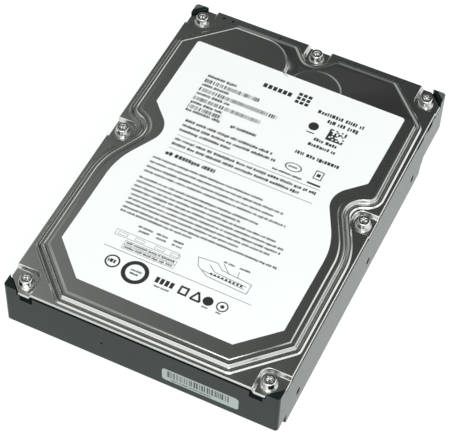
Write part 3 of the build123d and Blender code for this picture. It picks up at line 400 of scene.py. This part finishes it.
# At the front a groove and a low step lie inside the panel's edge; at the rear the edge is a lip.
GROOVE_DEPTH = 0.22
STEP_H = 0.14
STEP_RISE = (3.3, 4.2)
LIP_H = 0.25
FRONT_TO_REAR = (-8, 22)            # y over which the front's edge becomes the rear's
LIP_END_X = (-8, 0)                 # the lip fades out at the rear right, over these x and y
LIP_END_Y = (42, 50)
BREATHER = (6.9, 52.4)
BREATHER_STEPS = [(9.6, -0.2), (10.3, 0.0)]
SCREW_POINTS = [
    (-45.4, 67.0), (45.4, 67.0), (-46.8, 4.9), (46.8, 4.9),
    (-44.8, -68.5), (44.8, -68.5), (0.8, 69.2),
]
SCREW_HOLE_R = 1.3
RIM_HOLES = [(-38.2, 71.0), (-34.3, 71.0), (-14.9, 71.0)]
RIM_HOLE_R = 0.5


def box_corners(x_low, x_high, y_low, y_high, radius):
    """Corners of an upright rectangle."""
    return [
        (x_low, y_low, radius), (x_high, y_low, radius),
        (x_high, y_high, radius), (x_low, y_high, radius),
    ]


PAD_X = HALF_W + 3.5                # the pads reach past the cover's edge
PAD_Y = HALF_L + 3.5
PAD_CORNER_R = 3.4
PADS = [
    box_corners(41.2, PAD_X, 62.6, PAD_Y, PAD_CORNER_R),
    box_corners(-PAD_X, -41.2, 62.6, PAD_Y, PAD_CORNER_R),
    box_corners(40.5, PAD_X, -PAD_Y, -63.2, PAD_CORNER_R),
    box_corners(-PAD_X, -40.5, -PAD_Y, -63.2, PAD_CORNER_R),
    box_corners(42.3, PAD_X, 0.1, 9.9, PAD_CORNER_R),
    box_corners(-PAD_X, -42.3, 0.1, 9.9, PAD_CORNER_R),
    box_corners(-4.1, 5.7, 65.2, PAD_Y, PAD_CORNER_R),
]
COVER_X = 50.7
COVER_FRONT = -73.2
COVER_REAR = 73.2
COVER_CUT = POST_LINE - 0.7
COVER_OUTLINE = [
    (COVER_FRONT + COVER_CUT, COVER_FRONT, 0.4), (COVER_X, COVER_X - COVER_CUT, 0.4),
    (COVER_X, COVER_CUT - COVER_X, 0.4), (COVER_CUT - COVER_REAR, COVER_REAR, 0.4),
    (COVER_REAR - COVER_CUT, COVER_REAR, 0.4), (-COVER_X, COVER_CUT - COVER_X, 0.4),
    (-COVER_X, COVER_X - COVER_CUT, 0.4), (-COVER_FRONT - COVER_CUT, COVER_FRONT, 0.4),
]


def inset(corners, distance):
    """Moves an anticlockwise outline inwards, with its arcs concentric."""
    moved = []
    for index, (x, y, radius) in enumerate(corners):
        before = Vector(corners[index - 1][:2])
        here = Vector((x, y))
        after = Vector(corners[(index + 1) % len(corners)][:2])
        into = (here - before).normalized()
        out = (after - here).normalized()
        left = Vector((-into.y - out.y, into.x + out.x))
        shift = left * (distance / (1 + into.dot(out)))
        turns_left = into.x * out.y - into.y * out.x > 0
        new_radius = radius - distance if turns_left else radius + distance
        moved.append((x + shift.x, y + shift.y, max(new_radius, 0.0)))
    return moved


ARC_STEP = math.radians(5)
ARC_LENGTH = 1.2
SHARP_R = 0.02                      # a corner with a smaller radius is one point


def fillet(corners, index):
    """Centre, radius, start and end directions of the arc at one corner."""
    x, y, radius = corners[index]
    here = Vector((x, y))
    into = (here - Vector(corners[index - 1][:2])).normalized()
    out = (Vector(corners[(index + 1) % len(corners)][:2]) - here).normalized()
    turn = math.atan2(into.x * out.y - into.y * out.x, into.dot(out))
    reach = radius * math.tan(abs(turn) / 2)
    side = Vector((-into.y, into.x)) * math.copysign(radius, turn)
    centre = here - into * reach + side
    return centre, -side, turn


def outline_points(corners):
    """Points round an outline with rounded corners."""
    points = []
    for index, (x, y, radius) in enumerate(corners):
        if radius < SHARP_R:
            points.append((x, y))
            continue
        centre, spoke, turn = fillet(corners, index)
        count = max(3, math.ceil(abs(turn) / ARC_STEP), math.ceil(abs(turn) * radius / ARC_LENGTH))
        for step in range(count + 1):
            points.append(tuple(centre + Matrix.Rotation(turn * step / count, 2) @ spoke))
    return points


def circle_points(centre, radius, count):
    """Points round a circle."""
    return [
        (
            centre[0] + radius * math.cos(math.tau * k / count),
            centre[1] + radius * math.sin(math.tau * k / count),
        )
        for k in range(count)
    ]


def is_inside(points, polygon):
    """For each point, whether it lies inside the polygon."""
    polygon = np.asarray(polygon)
    inside = np.zeros(len(points), bool)
    for (x1, y1), (x2, y2) in zip(polygon, np.roll(polygon, -1, axis=0)):
        crosses = (points[:, 1] < y1) != (points[:, 1] < y2)
        if y1 != y2:
            inside ^= crosses & (points[:, 0] < x1 + (points[:, 1] - y1) * (x2 - x1) / (y2 - y1))
    return inside


def depth_in(corners, points):
    """Exact distance of each point inwards from an outline, negative outside it."""
    best = np.full(len(points), np.inf)
    arcs = [fillet(corners, index) for index in range(len(corners))]
    for index, (centre, spoke, turn) in enumerate(arcs):
        start = centre + spoke
        next_centre, next_spoke, _ = arcs[(index + 1) % len(arcs)]
        end = centre + Matrix.Rotation(turn, 2) @ spoke
        run_start, run_end = np.array(end), np.array(next_centre + next_spoke)
        run = run_end - run_start
        along = np.clip((points - run_start) @ run / max(run @ run, 1e-12), 0, 1)
        gap = points - run_start - along[:, None] * run
        best = np.minimum(best, np.hypot(gap[:, 0], gap[:, 1]))
        arm = points - np.array(centre)
        first = math.atan2(spoke.y, spoke.x)
        angle = np.arctan2(arm[:, 1], arm[:, 0]) - first
        swept = np.mod(angle, math.tau) if turn > 0 else np.mod(-angle, math.tau)
        reach = np.hypot(arm[:, 0], arm[:, 1])
        on_arc = swept <= abs(turn)
        best = np.where(on_arc, np.minimum(best, abs(reach - spoke.length)), best)
        corner_gap = points - np.array(start)
        best = np.minimum(best, np.hypot(corner_gap[:, 0], corner_gap[:, 1]))
    return np.where(is_inside(points, outline_points(corners)), best, -best)


def ease(values, low, high):
    """Smooth rise from 0 to 1 between two values."""
    t = np.clip((values - low) / (high - low), 0, 1)
    return t * t * (3 - 2 * t)


def stepped(steps, distance):
    """Height along smooth rises between level stretches."""
    height = np.full(distance.shape, float(steps[0][1]))
    for (d_low, z_low), (d_high, z_high) in zip(steps, steps[1:]):
        height += (z_high - z_low) * ease(distance, d_low, d_high)
    return height


def panel_height(points):
    """Height of the raised panel, whose edge has a groove at the front and a lip at the rear."""
    depth = depth_in(PANEL_OUTLINE, points)
    x, y = points[:, 0], points[:, 1]
    rear = ease(y, *FRONT_TO_REAR)
    step, groove = STEP_H * (1 - rear), GROOVE_DEPTH * (1 - rear)
    lip = LIP_H * rear * (1 - ease(y, *LIP_END_Y) * ease(x, *LIP_END_X))
    ramp = np.clip((depth - PANEL_RISE[0]) / (PANEL_RISE[1] - PANEL_RISE[0]), 0, 1)
    height = (PANEL_H - step + lip) * (ramp + ease(ramp, 0, 1)) / 2
    height -= (groove + lip) * ease(depth, *PANEL_FALL)
    return height + (step + groove) * ease(depth, *STEP_RISE)


def cover_height(points):
    """Height of the cover's upper face, without its rounded rim."""
    bead = stepped(BEAD_STEPS, depth_in(BEAD_OUTLINE, points))
    panel = panel_height(points)
    from_breather = np.hypot(points[:, 0] - BREATHER[0], points[:, 1] - BREATHER[1])
    beyond_panel = 1 - np.clip(panel / (PANEL_H - STEP_H), 0, 1)
    height = FLANGE_Z + bead + panel + stepped(BREATHER_STEPS, from_breather) * beyond_panel
    for pad in PADS:
        height += stepped([(0, 0), (PAD_WALL, -PAD_DEPTH)], depth_in(pad, points))
    return height


def rim_drop(points):
    """How far the rounded rim falls below the upper face."""
    short = np.clip(RIM_R - depth_in(COVER_OUTLINE, points), 0, RIM_R)
    return RIM_R - np.sqrt(RIM_R ** 2 - short ** 2)


SLOPE_REACH = 0.01


def upper_normals(points, height):
    """Unit normals of a height function."""
    slopes = []
    for dx, dy in ((SLOPE_REACH, 0), (0, SLOPE_REACH)):
        step = np.array([dx, dy])
        slopes.append((height(points + step) - height(points - step)) / (2 * SLOPE_REACH))
    normals = np.stack([-slopes[0], -slopes[1], np.ones(len(points))], axis=1)
    return normals / np.linalg.norm(normals, axis=1)[:, None]


def spread_steps(steps, parts):
    """Distances that cut each rise into parts."""
    found = []
    for (d_low, _), (d_high, _) in zip(steps, steps[1:]):
        found.extend(d_low + (d_high - d_low) * k / parts for k in range(parts))
    return found + [steps[-1][0]]


def build_object(name, vertices, faces, body="base", smooth=True):
    """A mesh object from millimetre vertices, riding on a body if one is given."""
    mesh = bpy.data.meshes.new(name)
    mesh.from_pydata([tuple(c * MM for c in vertex) for vertex in vertices], [], faces)
    mesh.validate()
    if smooth:
        mesh.shade_smooth()
    piece = bpy.data.objects.new(name, mesh)
    bpy.context.scene.collection.objects.link(piece)
    if body:
        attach(piece, body)
    return piece


RIM_LOOPS = (0, 0.03, 0.09, 0.18, RIM_R)
RISE_PARTS = 5                      # loops along each rise of the bead and the panel
PAD_PARTS = 8
BREATHER_PARTS = 4
BREATHER_SIDES = 96
SCREW_HOLE_SIDES = 32
RIM_HOLE_SIDES = 20
MERGE = 1e-4


def cover_loops():
    """Outlines that the cover's mesh follows, and its holes."""
    loops = [outline_points(inset(COVER_OUTLINE, d)) for d in RIM_LOOPS]
    panel_steps = [(d, 0) for d in PANEL_RISE + PANEL_FALL + STEP_RISE]
    for corners, steps in ((BEAD_OUTLINE, BEAD_STEPS), (PANEL_OUTLINE, panel_steps)):
        loops += [outline_points(inset(corners, d)) for d in spread_steps(steps, RISE_PARTS)]
    for pad in PADS:
        depths = [PAD_WALL * k / PAD_PARTS for k in range(PAD_PARTS + 1)]
        loops += [outline_points(inset(pad, d)) for d in depths]
    loops += [
        circle_points(BREATHER, d, BREATHER_SIDES)
        for d in spread_steps(BREATHER_STEPS, BREATHER_PARTS)
    ]
    holes = [circle_points(point, SCREW_HOLE_R, SCREW_HOLE_SIDES) for point in SCREW_POINTS]
    holes += [circle_points(point, RIM_HOLE_R, RIM_HOLE_SIDES) for point in RIM_HOLES]
    return loops, holes


def cover_triangles():
    """Points and triangles of the cover seen from above."""
    loops, holes = cover_loops()
    flat, edges = [], []
    for loop in loops + holes:
        first = len(flat)
        flat += [Vector(point) for point in loop]
        edges += [(first + k, first + (k + 1) % len(loop)) for k in range(len(loop))]
    points, _, triangles, *_ = delaunay_2d_cdt(flat, edges, [], 0, MERGE)
    points = np.array([tuple(p) for p in points])
    triangles = np.array([tuple(t) for t in triangles])
    middles = points[triangles].mean(axis=1)
    keep = is_inside(middles, outline_points(COVER_OUTLINE))
    for hole in holes:
        keep &= ~is_inside(middles, hole)
    triangles = triangles[keep]
    used = np.unique(triangles)
    renumber = np.full(len(points), -1)
    renumber[used] = np.arange(len(used))
    return points[used], renumber[triangles]


def make_cover():
    """The stamped cover as one closed sheet, with exact normals."""
    points, triangles = cover_triangles()
    count = len(points)
    height = cover_height(points)
    top = np.column_stack([points, height - rim_drop(points)])
    bottom = np.column_stack([points, height - SHEET_T])
    directed = [edge for a, b, c in triangles for edge in ((a, b), (b, c), (c, a))]
    present = set(directed)
    border = [edge for edge in directed if (edge[1], edge[0]) not in present]
    faces = [tuple(int(i) for i in t) for t in triangles]
    faces += [tuple(int(i) + count for i in t[::-1]) for t in triangles]
    faces += [(int(a) + count, int(b) + count, int(b), int(a)) for a, b in border]
    piece = build_object("stamped_cover", np.vstack([top, bottom]), faces)
    up = upper_normals(points, lambda p: cover_height(p) - rim_drop(p))
    down = -upper_normals(points, cover_height)
    vertex_normals = np.vstack([up, down])
    loop_normals = []
    for face in piece.data.polygons:
        if len(face.vertices) == 3:
            loop_normals += [tuple(vertex_normals[v]) for v in face.vertices]
        else:
            loop_normals += [tuple(face.normal)] * len(face.vertices)
    piece.data.normals_split_custom_set(loop_normals)
    paint(piece, "cover_steel")
    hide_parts("top_cover")


make_cover()

# ---- cover screws ----
SCREW_SIDES = 72
STAR_MEAN = 1.05
STAR_WAVE = 0.18
# Rings from the tip of the shank up to the bottom of the recess: radius and height over the pad.
SHANK_RINGS = [(0.0, -7.0), (0.8, -7.0), (1.2, -6.6), (1.2, 0.0), (2.8, 0.0)]
HEAD_RINGS = [
    (2.9, 0.1), (2.9, 0.42), (2.84, 0.54), (2.72, 0.6), (2.52, 0.62), (2.44, 0.68),
    (2.4, 0.82), (2.22, 2.6), (2.16, 2.82), (2.04, 2.95), (1.86, 3.0),
]
STAR_RINGS = [(0.16, 3.0), (0.05, 2.95), (0.0, 2.86), (0.0, 1.6)]
STAR_POINTS = 6
RECESS_END = (0.0, 0.0, 1.5)
SHARP_ANGLE = math.radians(38)
TURN_SEED = 4


def screw_rings():
    """Every ring of one screw as points, from the tip up and down into the recess."""
    rings = []
    angles = [math.tau * k / SCREW_SIDES for k in range(SCREW_SIDES)]
    for radius, z in SHANK_RINGS + HEAD_RINGS:
        rings.append([(radius * math.cos(a), radius * math.sin(a), z) for a in angles])
    for spread, z in STAR_RINGS:
        radii = [STAR_MEAN + STAR_WAVE * math.cos(STAR_POINTS * a) + spread for a in angles]
        rings.append([(r * math.cos(a), r * math.sin(a), z) for r, a in zip(radii, angles)])
    rings.append([RECESS_END] * SCREW_SIDES)
    return rings


def make_screws():
    """The seven cover screws, each turned by its own angle."""
    vertices, faces = [], []
    turns = random.Random(TURN_SEED)
    rings = screw_rings()
    for x, y in SCREW_POINTS:
        angle = turns.uniform(0, math.tau)
        cosine, sine = math.cos(angle), math.sin(angle)
        first = len(vertices)
        for ring in rings:
            vertices += [
                (x + px * cosine - py * sine, y + px * sine + py * cosine, PAD_Z + pz)
                for px, py, pz in ring
            ]
        for level in range(len(rings) - 1):
            low_ring, high_ring = first + level * SCREW_SIDES, first + (level + 1) * SCREW_SIDES
            for k in range(SCREW_SIDES):
                after = (k + 1) % SCREW_SIDES
                faces.append((low_ring + k, low_ring + after, high_ring + after, high_ring + k))
    screws = build_object("star_screws", vertices, faces)
    screws.data.set_sharp_from_angle(angle=SHARP_ANGLE)
    paint(screws, "screw_steel")
    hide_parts("cover_screws")


make_screws()

# ---- flex ribbon ----
PIVOT = Vector((-24.0, 29.5))
PARK_ANGLE = math.radians(-85.8)
FLEX_AT = (-6.0, 9.0)               # where the ribbon leaves the arms, along and across them
FLEX_Z = (10.5, 20.5)
FLEX_T = 0.2
FLEX_TRACES = 7
TRACE_H = 0.55
TRACE_RISE = 0.03
BEND_STEPS = 10
AT_ARMS = PIVOT + Matrix.Rotation(PARK_ANGLE, 2) @ Vector(FLEX_AT)
FLEX_ROUTE = [
    (AT_ARMS.x, AT_ARMS.y, 0.0), (AT_ARMS.x + 0.4, AT_ARMS.y + 3.6, 2.4),
    (-4.0, 38.4, 2.0), (-1.6, 35.4, 1.6), (2.0, 35.4, 0.0),
]


def rounded_path(corners):
    """Points along an open path, with a rounded bend at each inner corner."""
    path = [Vector(corners[0][:2])]
    for index in range(1, len(corners) - 1):
        centre, spoke, turn = fillet(corners, index)
        path += [
            centre + Matrix.Rotation(turn * k / BEND_STEPS, 2) @ spoke
            for k in range(BEND_STEPS + 1)
        ]
    path.append(Vector(corners[-1][:2]))
    return path


def swept_strip(path, low, high, side_low, side_high):
    """A closed strip along a path, between two heights and two sideways distances."""
    vertices, faces = [], []
    for index, point in enumerate(path):
        along = path[min(index + 1, len(path) - 1)] - path[max(index - 1, 0)]
        side = Vector((-along.y, along.x)).normalized()
        for reach, z in (
            (side_low, low), (side_high, low), (side_high, high), (side_low, high),
        ):
            vertices.append((*(point + side * reach), z))
        if index:
            first = 4 * (index - 1)
            faces += [
                (first + k, first + (k + 1) % 4, first + 4 + (k + 1) % 4, first + 4 + k)
                for k in range(4)
            ]
    last = 4 * (len(path) - 1)
    faces += [(3, 2, 1, 0), (last, last + 1, last + 2, last + 3)]
    return vertices, faces


def make_ribbon():
    """The flex ribbon from the bracket to the arms, with its printed copper lines."""
    route = rounded_path(FLEX_ROUTE)
    vertices, faces = swept_strip(route, *FLEX_Z, -FLEX_T / 2, FLEX_T / 2)
    film = build_object("flex_ribbon", vertices, faces, body=None, smooth=False)
    paint(film, "flex_amber")
    copper_vertices, copper_faces = [], []
    pitch = (FLEX_Z[1] - FLEX_Z[0]) / (FLEX_TRACES + 1)
    for number in range(1, FLEX_TRACES + 1):
        low = FLEX_Z[0] + number * pitch - TRACE_H / 2
        strip, strip_faces = swept_strip(
            route, low, low + TRACE_H, FLEX_T / 2 - TRACE_RISE, FLEX_T / 2 + TRACE_RISE
        )
        first = len(copper_vertices)
        copper_vertices += strip
        copper_faces += [tuple(first + v for v in face) for face in strip_faces]
    lines = build_object("flex_lines", copper_vertices, copper_faces, body=None, smooth=False)
    paint(lines, "copper_wire")
    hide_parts("flex_cable")
    for piece in (film, lines):
        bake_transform(piece)


make_ribbon()

# ---- printing ----
LABEL_TURN = math.radians(-0.6)
INK_SINK = 0.01
INK_RISE = 0.02
RING_SIDES = 36
DOT_SIDES = 24
LABEL_SHIFT = (0.35, -0.7)
LABEL_SEED = 11
BARCODE_SEED = 29
BOARD_SEEDS = (5, 6)


class Print:
    """Flat shapes of ink, in millimetres on a plane, gathered into one mesh."""

    def __init__(self, seed):
        self.vertices = []
        self.faces = []
        self.random = random.Random(seed)

    def shape(self, corners):
        """A thin prism on a convex, anticlockwise outline."""
        first, count = len(self.vertices), len(corners)
        self.vertices += [(x, y, -INK_SINK) for x, y in corners]
        self.vertices += [(x, y, INK_RISE) for x, y in corners]
        self.faces.append(tuple(range(first + count - 1, first - 1, -1)))
        self.faces.append(tuple(range(first + count, first + 2 * count)))
        for k in range(count):
            after = (k + 1) % count
            self.faces.append((first + k, first + after, first + count + after, first + count + k))

    def bar(self, x_low, x_high, y_low, y_high):
        """An upright rectangle."""
        self.shape([(x_low, y_low), (x_high, y_low), (x_high, y_high), (x_low, y_high)])

    def line(self, start, end, width):
        """A straight stroke."""
        along = (Vector(end) - Vector(start)).normalized() * width / 2
        side = Vector((-along.y, along.x))
        start, end = Vector(start), Vector(end)
        self.shape([tuple(p) for p in (start - side, end - side, end + side, start + side)])

    def frame(self, x_low, x_high, y_low, y_high, width):
        """A rectangle in outline."""
        self.bar(x_low, x_high, y_low, y_low + width)
        self.bar(x_low, x_high, y_high - width, y_high)
        self.bar(x_low, x_low + width, y_low + width, y_high - width)
        self.bar(x_high - width, x_high, y_low + width, y_high - width)

    def ring(self, centre, outer, inner, squeeze=1.0):
        """A ring, round or oval, as short prisms side by side."""
        for k in range(RING_SIDES):
            a, b = math.tau * k / RING_SIDES, math.tau * (k + 1) / RING_SIDES
            self.shape([
                (centre[0] + r * math.cos(t), centre[1] + r * math.sin(t) * squeeze)
                for r, t in ((inner, a), (outer, a), (outer, b), (inner, b))
            ])

    def disc(self, centre, radius):
        """A round dot."""
        self.shape(circle_points(centre, radius, DOT_SIDES))

    def words(self, x_low, x_high, y, height):
        """A row of small blocks of uneven width and height, in groups, in place of writing."""
        x = x_low
        while x < x_high - 0.3:
            blocks = self.random.randint(2, 9)
            for _ in range(blocks):
                width = height * self.random.choice((0.3, 0.42, 0.5, 0.62))
                if x + width > x_high:
                    break
                tall = self.random.random()
                top = height * (0.5 if tall > 0.35 else 0.34)
                foot = height * (0.5 if 0.3 < tall < 0.4 else 0.34)
                self.bar(x, x + width, y - foot, y + top)
                x += width + height * self.random.uniform(0.12, 0.2)
            x += height * self.random.uniform(0.35, 0.5)

    def dashes(self, x_low, count, pitch, width, y_low, y_high):
        """A row of equal blocks."""
        for k in range(count):
            self.bar(x_low + k * pitch, x_low + k * pitch + width, y_low, y_high)

    def stripes(self, x_low, x_high, y_low, y_high):
        """Upright bars of uneven width."""
        x = x_low
        while x < x_high:
            width = self.random.choice((0.22, 0.3, 0.3, 0.45, 0.62))
            self.bar(x, min(x + width, x_high), y_low, y_high)
            x += width + self.random.choice((0.26, 0.32, 0.42, 0.6))

    def checks(self, x_low, x_high, y_low, y_high, count):
        """A square grid with about half of its cells filled, and two full sides."""
        across, up = (x_high - x_low) / count, (y_high - y_low) / count
        for i in range(count):
            for j in range(count):
                if i == 0 or j == 0 or self.random.random() < 0.55:
                    self.bar(
                        x_low + i * across, x_low + (i + 1) * across,
                        y_low + j * up, y_low + (j + 1) * up,
                    )


def print_heading(ink):
    """Blocks in the label's upper part."""
    ink.dashes(-11.0, 6, 1.95, 1.45, 45.5, 47.5)
    for k in range(3):
        ink.dashes(2.4, 3, 1.9, 1.4, 43.9 + k * 1.9, 45.3 + k * 1.9)
    for x_low, x_high, y, height in (
        (12.0, 31.0, 43.8, 1.9), (17.0, 29.0, 41.0, 1.9), (16.0, 26.0, 31.2, 1.7),
        (15.0, 26.0, 28.4, 1.7), (12.5, 29.5, 23.0, 1.7), (8.5, 20.0, 12.3, 1.0),
    ):
        ink.words(x_low, x_high, y, height)
    ink.checks(19.5, 26.0, 33.0, 38.5, 9)
    # dot over a rule
    ink.disc((13.5, 36.6), 1.9)
    ink.bar(12.0, 15.0, 33.2, 33.7)
    for x_high, y, kind in (
        (-19.0, 41.0, 0), (-9.0, 38.6, 1), (-20.0, 36.3, 0), (0.0, 34.0, 1), (-17.0, 31.7, 0),
        (-4.5, 29.3, 1), (-18.5, 27.0, 0), (-18.0, 24.9, 1), (-17.0, 22.9, 0),
    ):
        if kind:
            ink.stripes(-31.0, x_high, y - 0.9, y + 0.9)
        else:
            ink.words(-31.0, x_high, y, 1.4)


def print_text(ink):
    """Rows of blocks between rules in the label's middle."""
    for x_low, x_high, y, height in (
        (-13.0, -3.0, 22.9, 1.4), (-28.5, 6.0, 18.0, 1.4), (-28.5, 8.5, 15.6, 1.4),
        (-28.5, -8.0, 13.2, 1.4), (-28.0, 27.5, 8.7, 1.4), (-28.0, 23.0, 6.3, 1.4),
        (-28.0, -8.0, 1.4, 1.9), (-31.0, 12.0, -2.3, 1.05), (-31.0, 21.0, -4.6, 1.05),
        (-31.0, 18.0, -7.0, 1.05), (-31.0, 24.0, -9.2, 1.05), (-31.0, 15.0, -12.5, 1.05),
        (-31.0, 9.5, -14.5, 1.05), (-31.0, 24.0, -16.6, 1.05), (-31.0, 27.5, -18.6, 1.05),
        (-30.0, 27.5, -20.6, 1.05), (-30.0, 24.0, -22.6, 1.05), (-30.0, 13.0, -24.5, 1.05),
        (-30.0, 28.5, -26.6, 1.05), (-30.0, -2.5, -28.4, 1.05),
    ):
        ink.words(x_low, x_high, y, height)
    for x_low, x_high, y in ((-28.0, 27.5, 10.7), (-28.0, 27.5, 4.2), (-28.0, 27.5, -44.0)):
        ink.bar(x_low, x_high, y - 0.09, y + 0.09)
    ink.ring((15.0, 16.0), 3.2, 2.7, squeeze=0.6)
    ink.words(13.2, 16.9, 16.0, 0.9)
    # box in a box over a bar
    ink.frame(22.9, 26.1, 14.6, 18.6, 0.35)
    ink.bar(23.8, 25.2, 15.9, 17.3)
    ink.bar(22.0, 27.0, 11.8, 12.6)


def print_drawings(ink):
    """A small table and a line drawing."""
    for x_low, x_high, y in (
        (-21.0, -15.5, -32.0), (-14.0, -9.0, -32.0), (-7.6, -3.0, -32.0),
        (-20.0, -16.0, -33.7), (-13.5, -9.5, -33.7), (-7.4, -3.4, -33.7),
    ):
        ink.words(x_low, x_high, y, 0.95)
    ink.frame(-27.0, -3.0, -38.5, -36.0, 0.14)
    for x in (-26.0, -19.5, -12.0, -6.0):
        ink.frame(x, x + 3.6, -37.9, -36.7, 0.12)
    ink.words(-21.5, -3.0, -40.0, 0.95)
    ink.frame(-22.2, -2.4, -40.8, -39.2, 0.12)
    ink.words(-21.5, -3.0, -41.9, 0.95)
    ink.frame(-22.2, -2.4, -42.7, -41.1, 0.12)
    for start, end in (
        ((3.0, -34.2), (10.0, -33.6)), ((10.0, -33.6), (12.5, -35.6)), ((12.5, -35.6), (24.0, -36.6)),
        ((24.0, -36.6), (24.0, -40.8)), ((24.0, -40.8), (9.0, -40.2)), ((9.0, -40.2), (4.5, -37.6)),
        ((4.5, -37.6), (3.0, -34.2)), ((6.5, -38.6), (22.5, -39.4)), ((8.0, -35.4), (10.5, -37.4)),
        ((10.5, -37.4), (22.8, -38.2)), ((12.0, -33.0), (15.5, -36.2)), ((18.0, -33.6), (18.6, -36.3)),
    ):
        ink.line(start, end, 0.2)
    ink.dashes(9.5, 9, 1.4, 0.8, -39.0, -38.2)
    ink.words(11.5, 16.0, -32.2, 0.9)
    ink.words(17.5, 21.5, -32.2, 0.9)


def print_marks(ink):
    """Plain shapes in a row along the label's foot."""
    ink.ring((-22.0, -49.0), 2.7, 2.1)
    ink.words(-23.7, -20.3, -49.0, 1.7)
    ink.ring((-13.0, -49.8), 4.8, 3.3)
    ink.words(-14.8, -10.8, -49.2, 0.9)
    ink.words(-14.6, -11.2, -50.6, 0.9)
    ink.dashes(-5.6, 4, 1.8, 1.3, -50.2, -47.8)
    ink.words(-5.0, 0.6, -51.6, 0.8)
    ink.frame(3.2, 6.6, -50.9, -47.3, 0.75)
    for start, end in (
        ((8.0, -50.8), (11.6, -50.8)), ((11.6, -50.8), (9.8, -47.2)), ((9.8, -47.2), (8.0, -50.8)),
    ):
        ink.line(start, end, 0.75)
    ink.disc((14.0, -49.1), 1.85)
    ink.ring((19.2, -49.0), 2.1, 1.65)
    ink.disc((19.2, -49.0), 0.7)
    for x in (12.9, 18.1):
        ink.words(x, x + 2.2, -51.9, 0.7)


def make_label_print():
    """All printing on the cover label: plain bars, rules, rings and blocks only."""
    ink = Print(LABEL_SEED)
    for part in (print_heading, print_text, print_drawings, print_marks):
        part(ink)
    cosine, sine = math.cos(LABEL_TURN), math.sin(LABEL_TURN)
    shift_x, shift_y = LABEL_SHIFT
    vertices = [
        (shift_x + x * cosine - y * sine, shift_y + x * sine + y * cosine, LABEL_Z + z)
        for x, y, z in ink.vertices
    ]
    printing = build_object("label_print", vertices, ink.faces, smooth=False)
    paint(printing, "print_ink")


BOARD_Z = 0.9
BOARD_SCREWS = [(-38, 66), (38, 55), (-38, 14), (38, 14), (-38, -26), (38, -26)]
# Bundles of printed lines: path of the first line, number of lines, pitch and width.
BUNDLES = [
    (((-6, 34), (0, 34), (10, 44), (10, 62)), 8, 0.8, 0.3),
    (((-18, 38), (-18, 45)), 10, 0.8, 0.3),
    (((-6, 24), (3, 15), (17, 15)), 7, -0.8, 0.3),
    (((17, 10), (9, 2), (4, 2)), 4, 1.3, 0.7),
    (((-22, 32), (-27, 27), (-27, 2), (-33, -4), (-33, -22)), 6, 0.8, 0.3),
    (((27, 16), (34, 9), (34, -22)), 5, -0.9, 0.4),
    (((34, 62), (34, 40), (26, 32), (26, 20)), 3, -2.2, 1.3),
    (((8, 40), (8, 43), (-2, 53), (-10, 53)), 6, -0.8, 0.3),
    (((-22, 50), (-30, 58), (-30, 67)), 5, 0.9, 0.3),
]
VIA_R = (0.42, 0.2)
VIA_COUNT = 90
TEST_PADS = 9
TEST_PAD_R = 0.7
TEST_PAD_PITCH = 2.6
TEST_PAD_ROWS = [(-34.0, 60.0), (16.0, -1.0)]
SCREW_LAND_R = (3.6, 2.5)
PAD_LIFT = 0.01


def offset_path(corners, distance):
    """An open path moved to its left."""
    moved = []
    steps = [(Vector(b) - Vector(a)).normalized() for a, b in zip(corners, corners[1:])]
    for corner, into, out in zip(corners, steps[:1] + steps, steps + steps[-1:]):
        left = Vector((-into.y - out.y, into.x + out.x))
        moved.append(Vector(corner) + left * (distance / (1 + into.dot(out))))
    return moved


def make_board_print():
    """Printed lines, vias and test pads on the underside of the circuit board."""
    lines, pads = (Print(seed) for seed in BOARD_SEEDS)
    for corners, count, pitch, width in BUNDLES:
        for number in range(count):
            path = offset_path(corners, number * pitch)
            for start, end in zip(path, path[1:]):
                lines.line(start, end, width)
            for centre in (path[0], path[-1]):
                pads.ring(centre, *VIA_R)
    for k in range(TEST_PADS):
        for x, y in TEST_PAD_ROWS:
            pads.disc((x + TEST_PAD_PITCH * k, y), TEST_PAD_R)
    for _ in range(VIA_COUNT):
        centre = (lines.random.uniform(-36, 36), lines.random.uniform(0, 60))
        pads.ring(centre, *VIA_R)
    for centre in BOARD_SCREWS:
        pads.ring(centre, *SCREW_LAND_R)
    for name, ink, paint_name, lift in (
        ("board_lines", lines, "board_line", 0.0), ("board_pads", pads, "tin_can", PAD_LIFT),
    ):
        vertices = [(x, y, BOARD_Z - lift - z) for x, y, z in ink.vertices]
        faces = [tuple(reversed(face)) for face in ink.faces]
        paint(build_object(name, vertices, faces, smooth=False), paint_name)


def make_barcode():
    """Bars on the small label on the front end."""
    ink = Print(BARCODE_SEED)
    ink.stripes(10.6, 33.2, 10.6, 14.1)
    ink.words(12.0, 27.0, 9.4, 0.8)
    vertices = [(x, -HALF_L - z, y) for x, y, z in ink.vertices]
    bars = build_object("front_label_bars", vertices, ink.faces, smooth=False)
    paint(bars, "print_ink")


make_board_print()
make_label_print()
make_barcode()
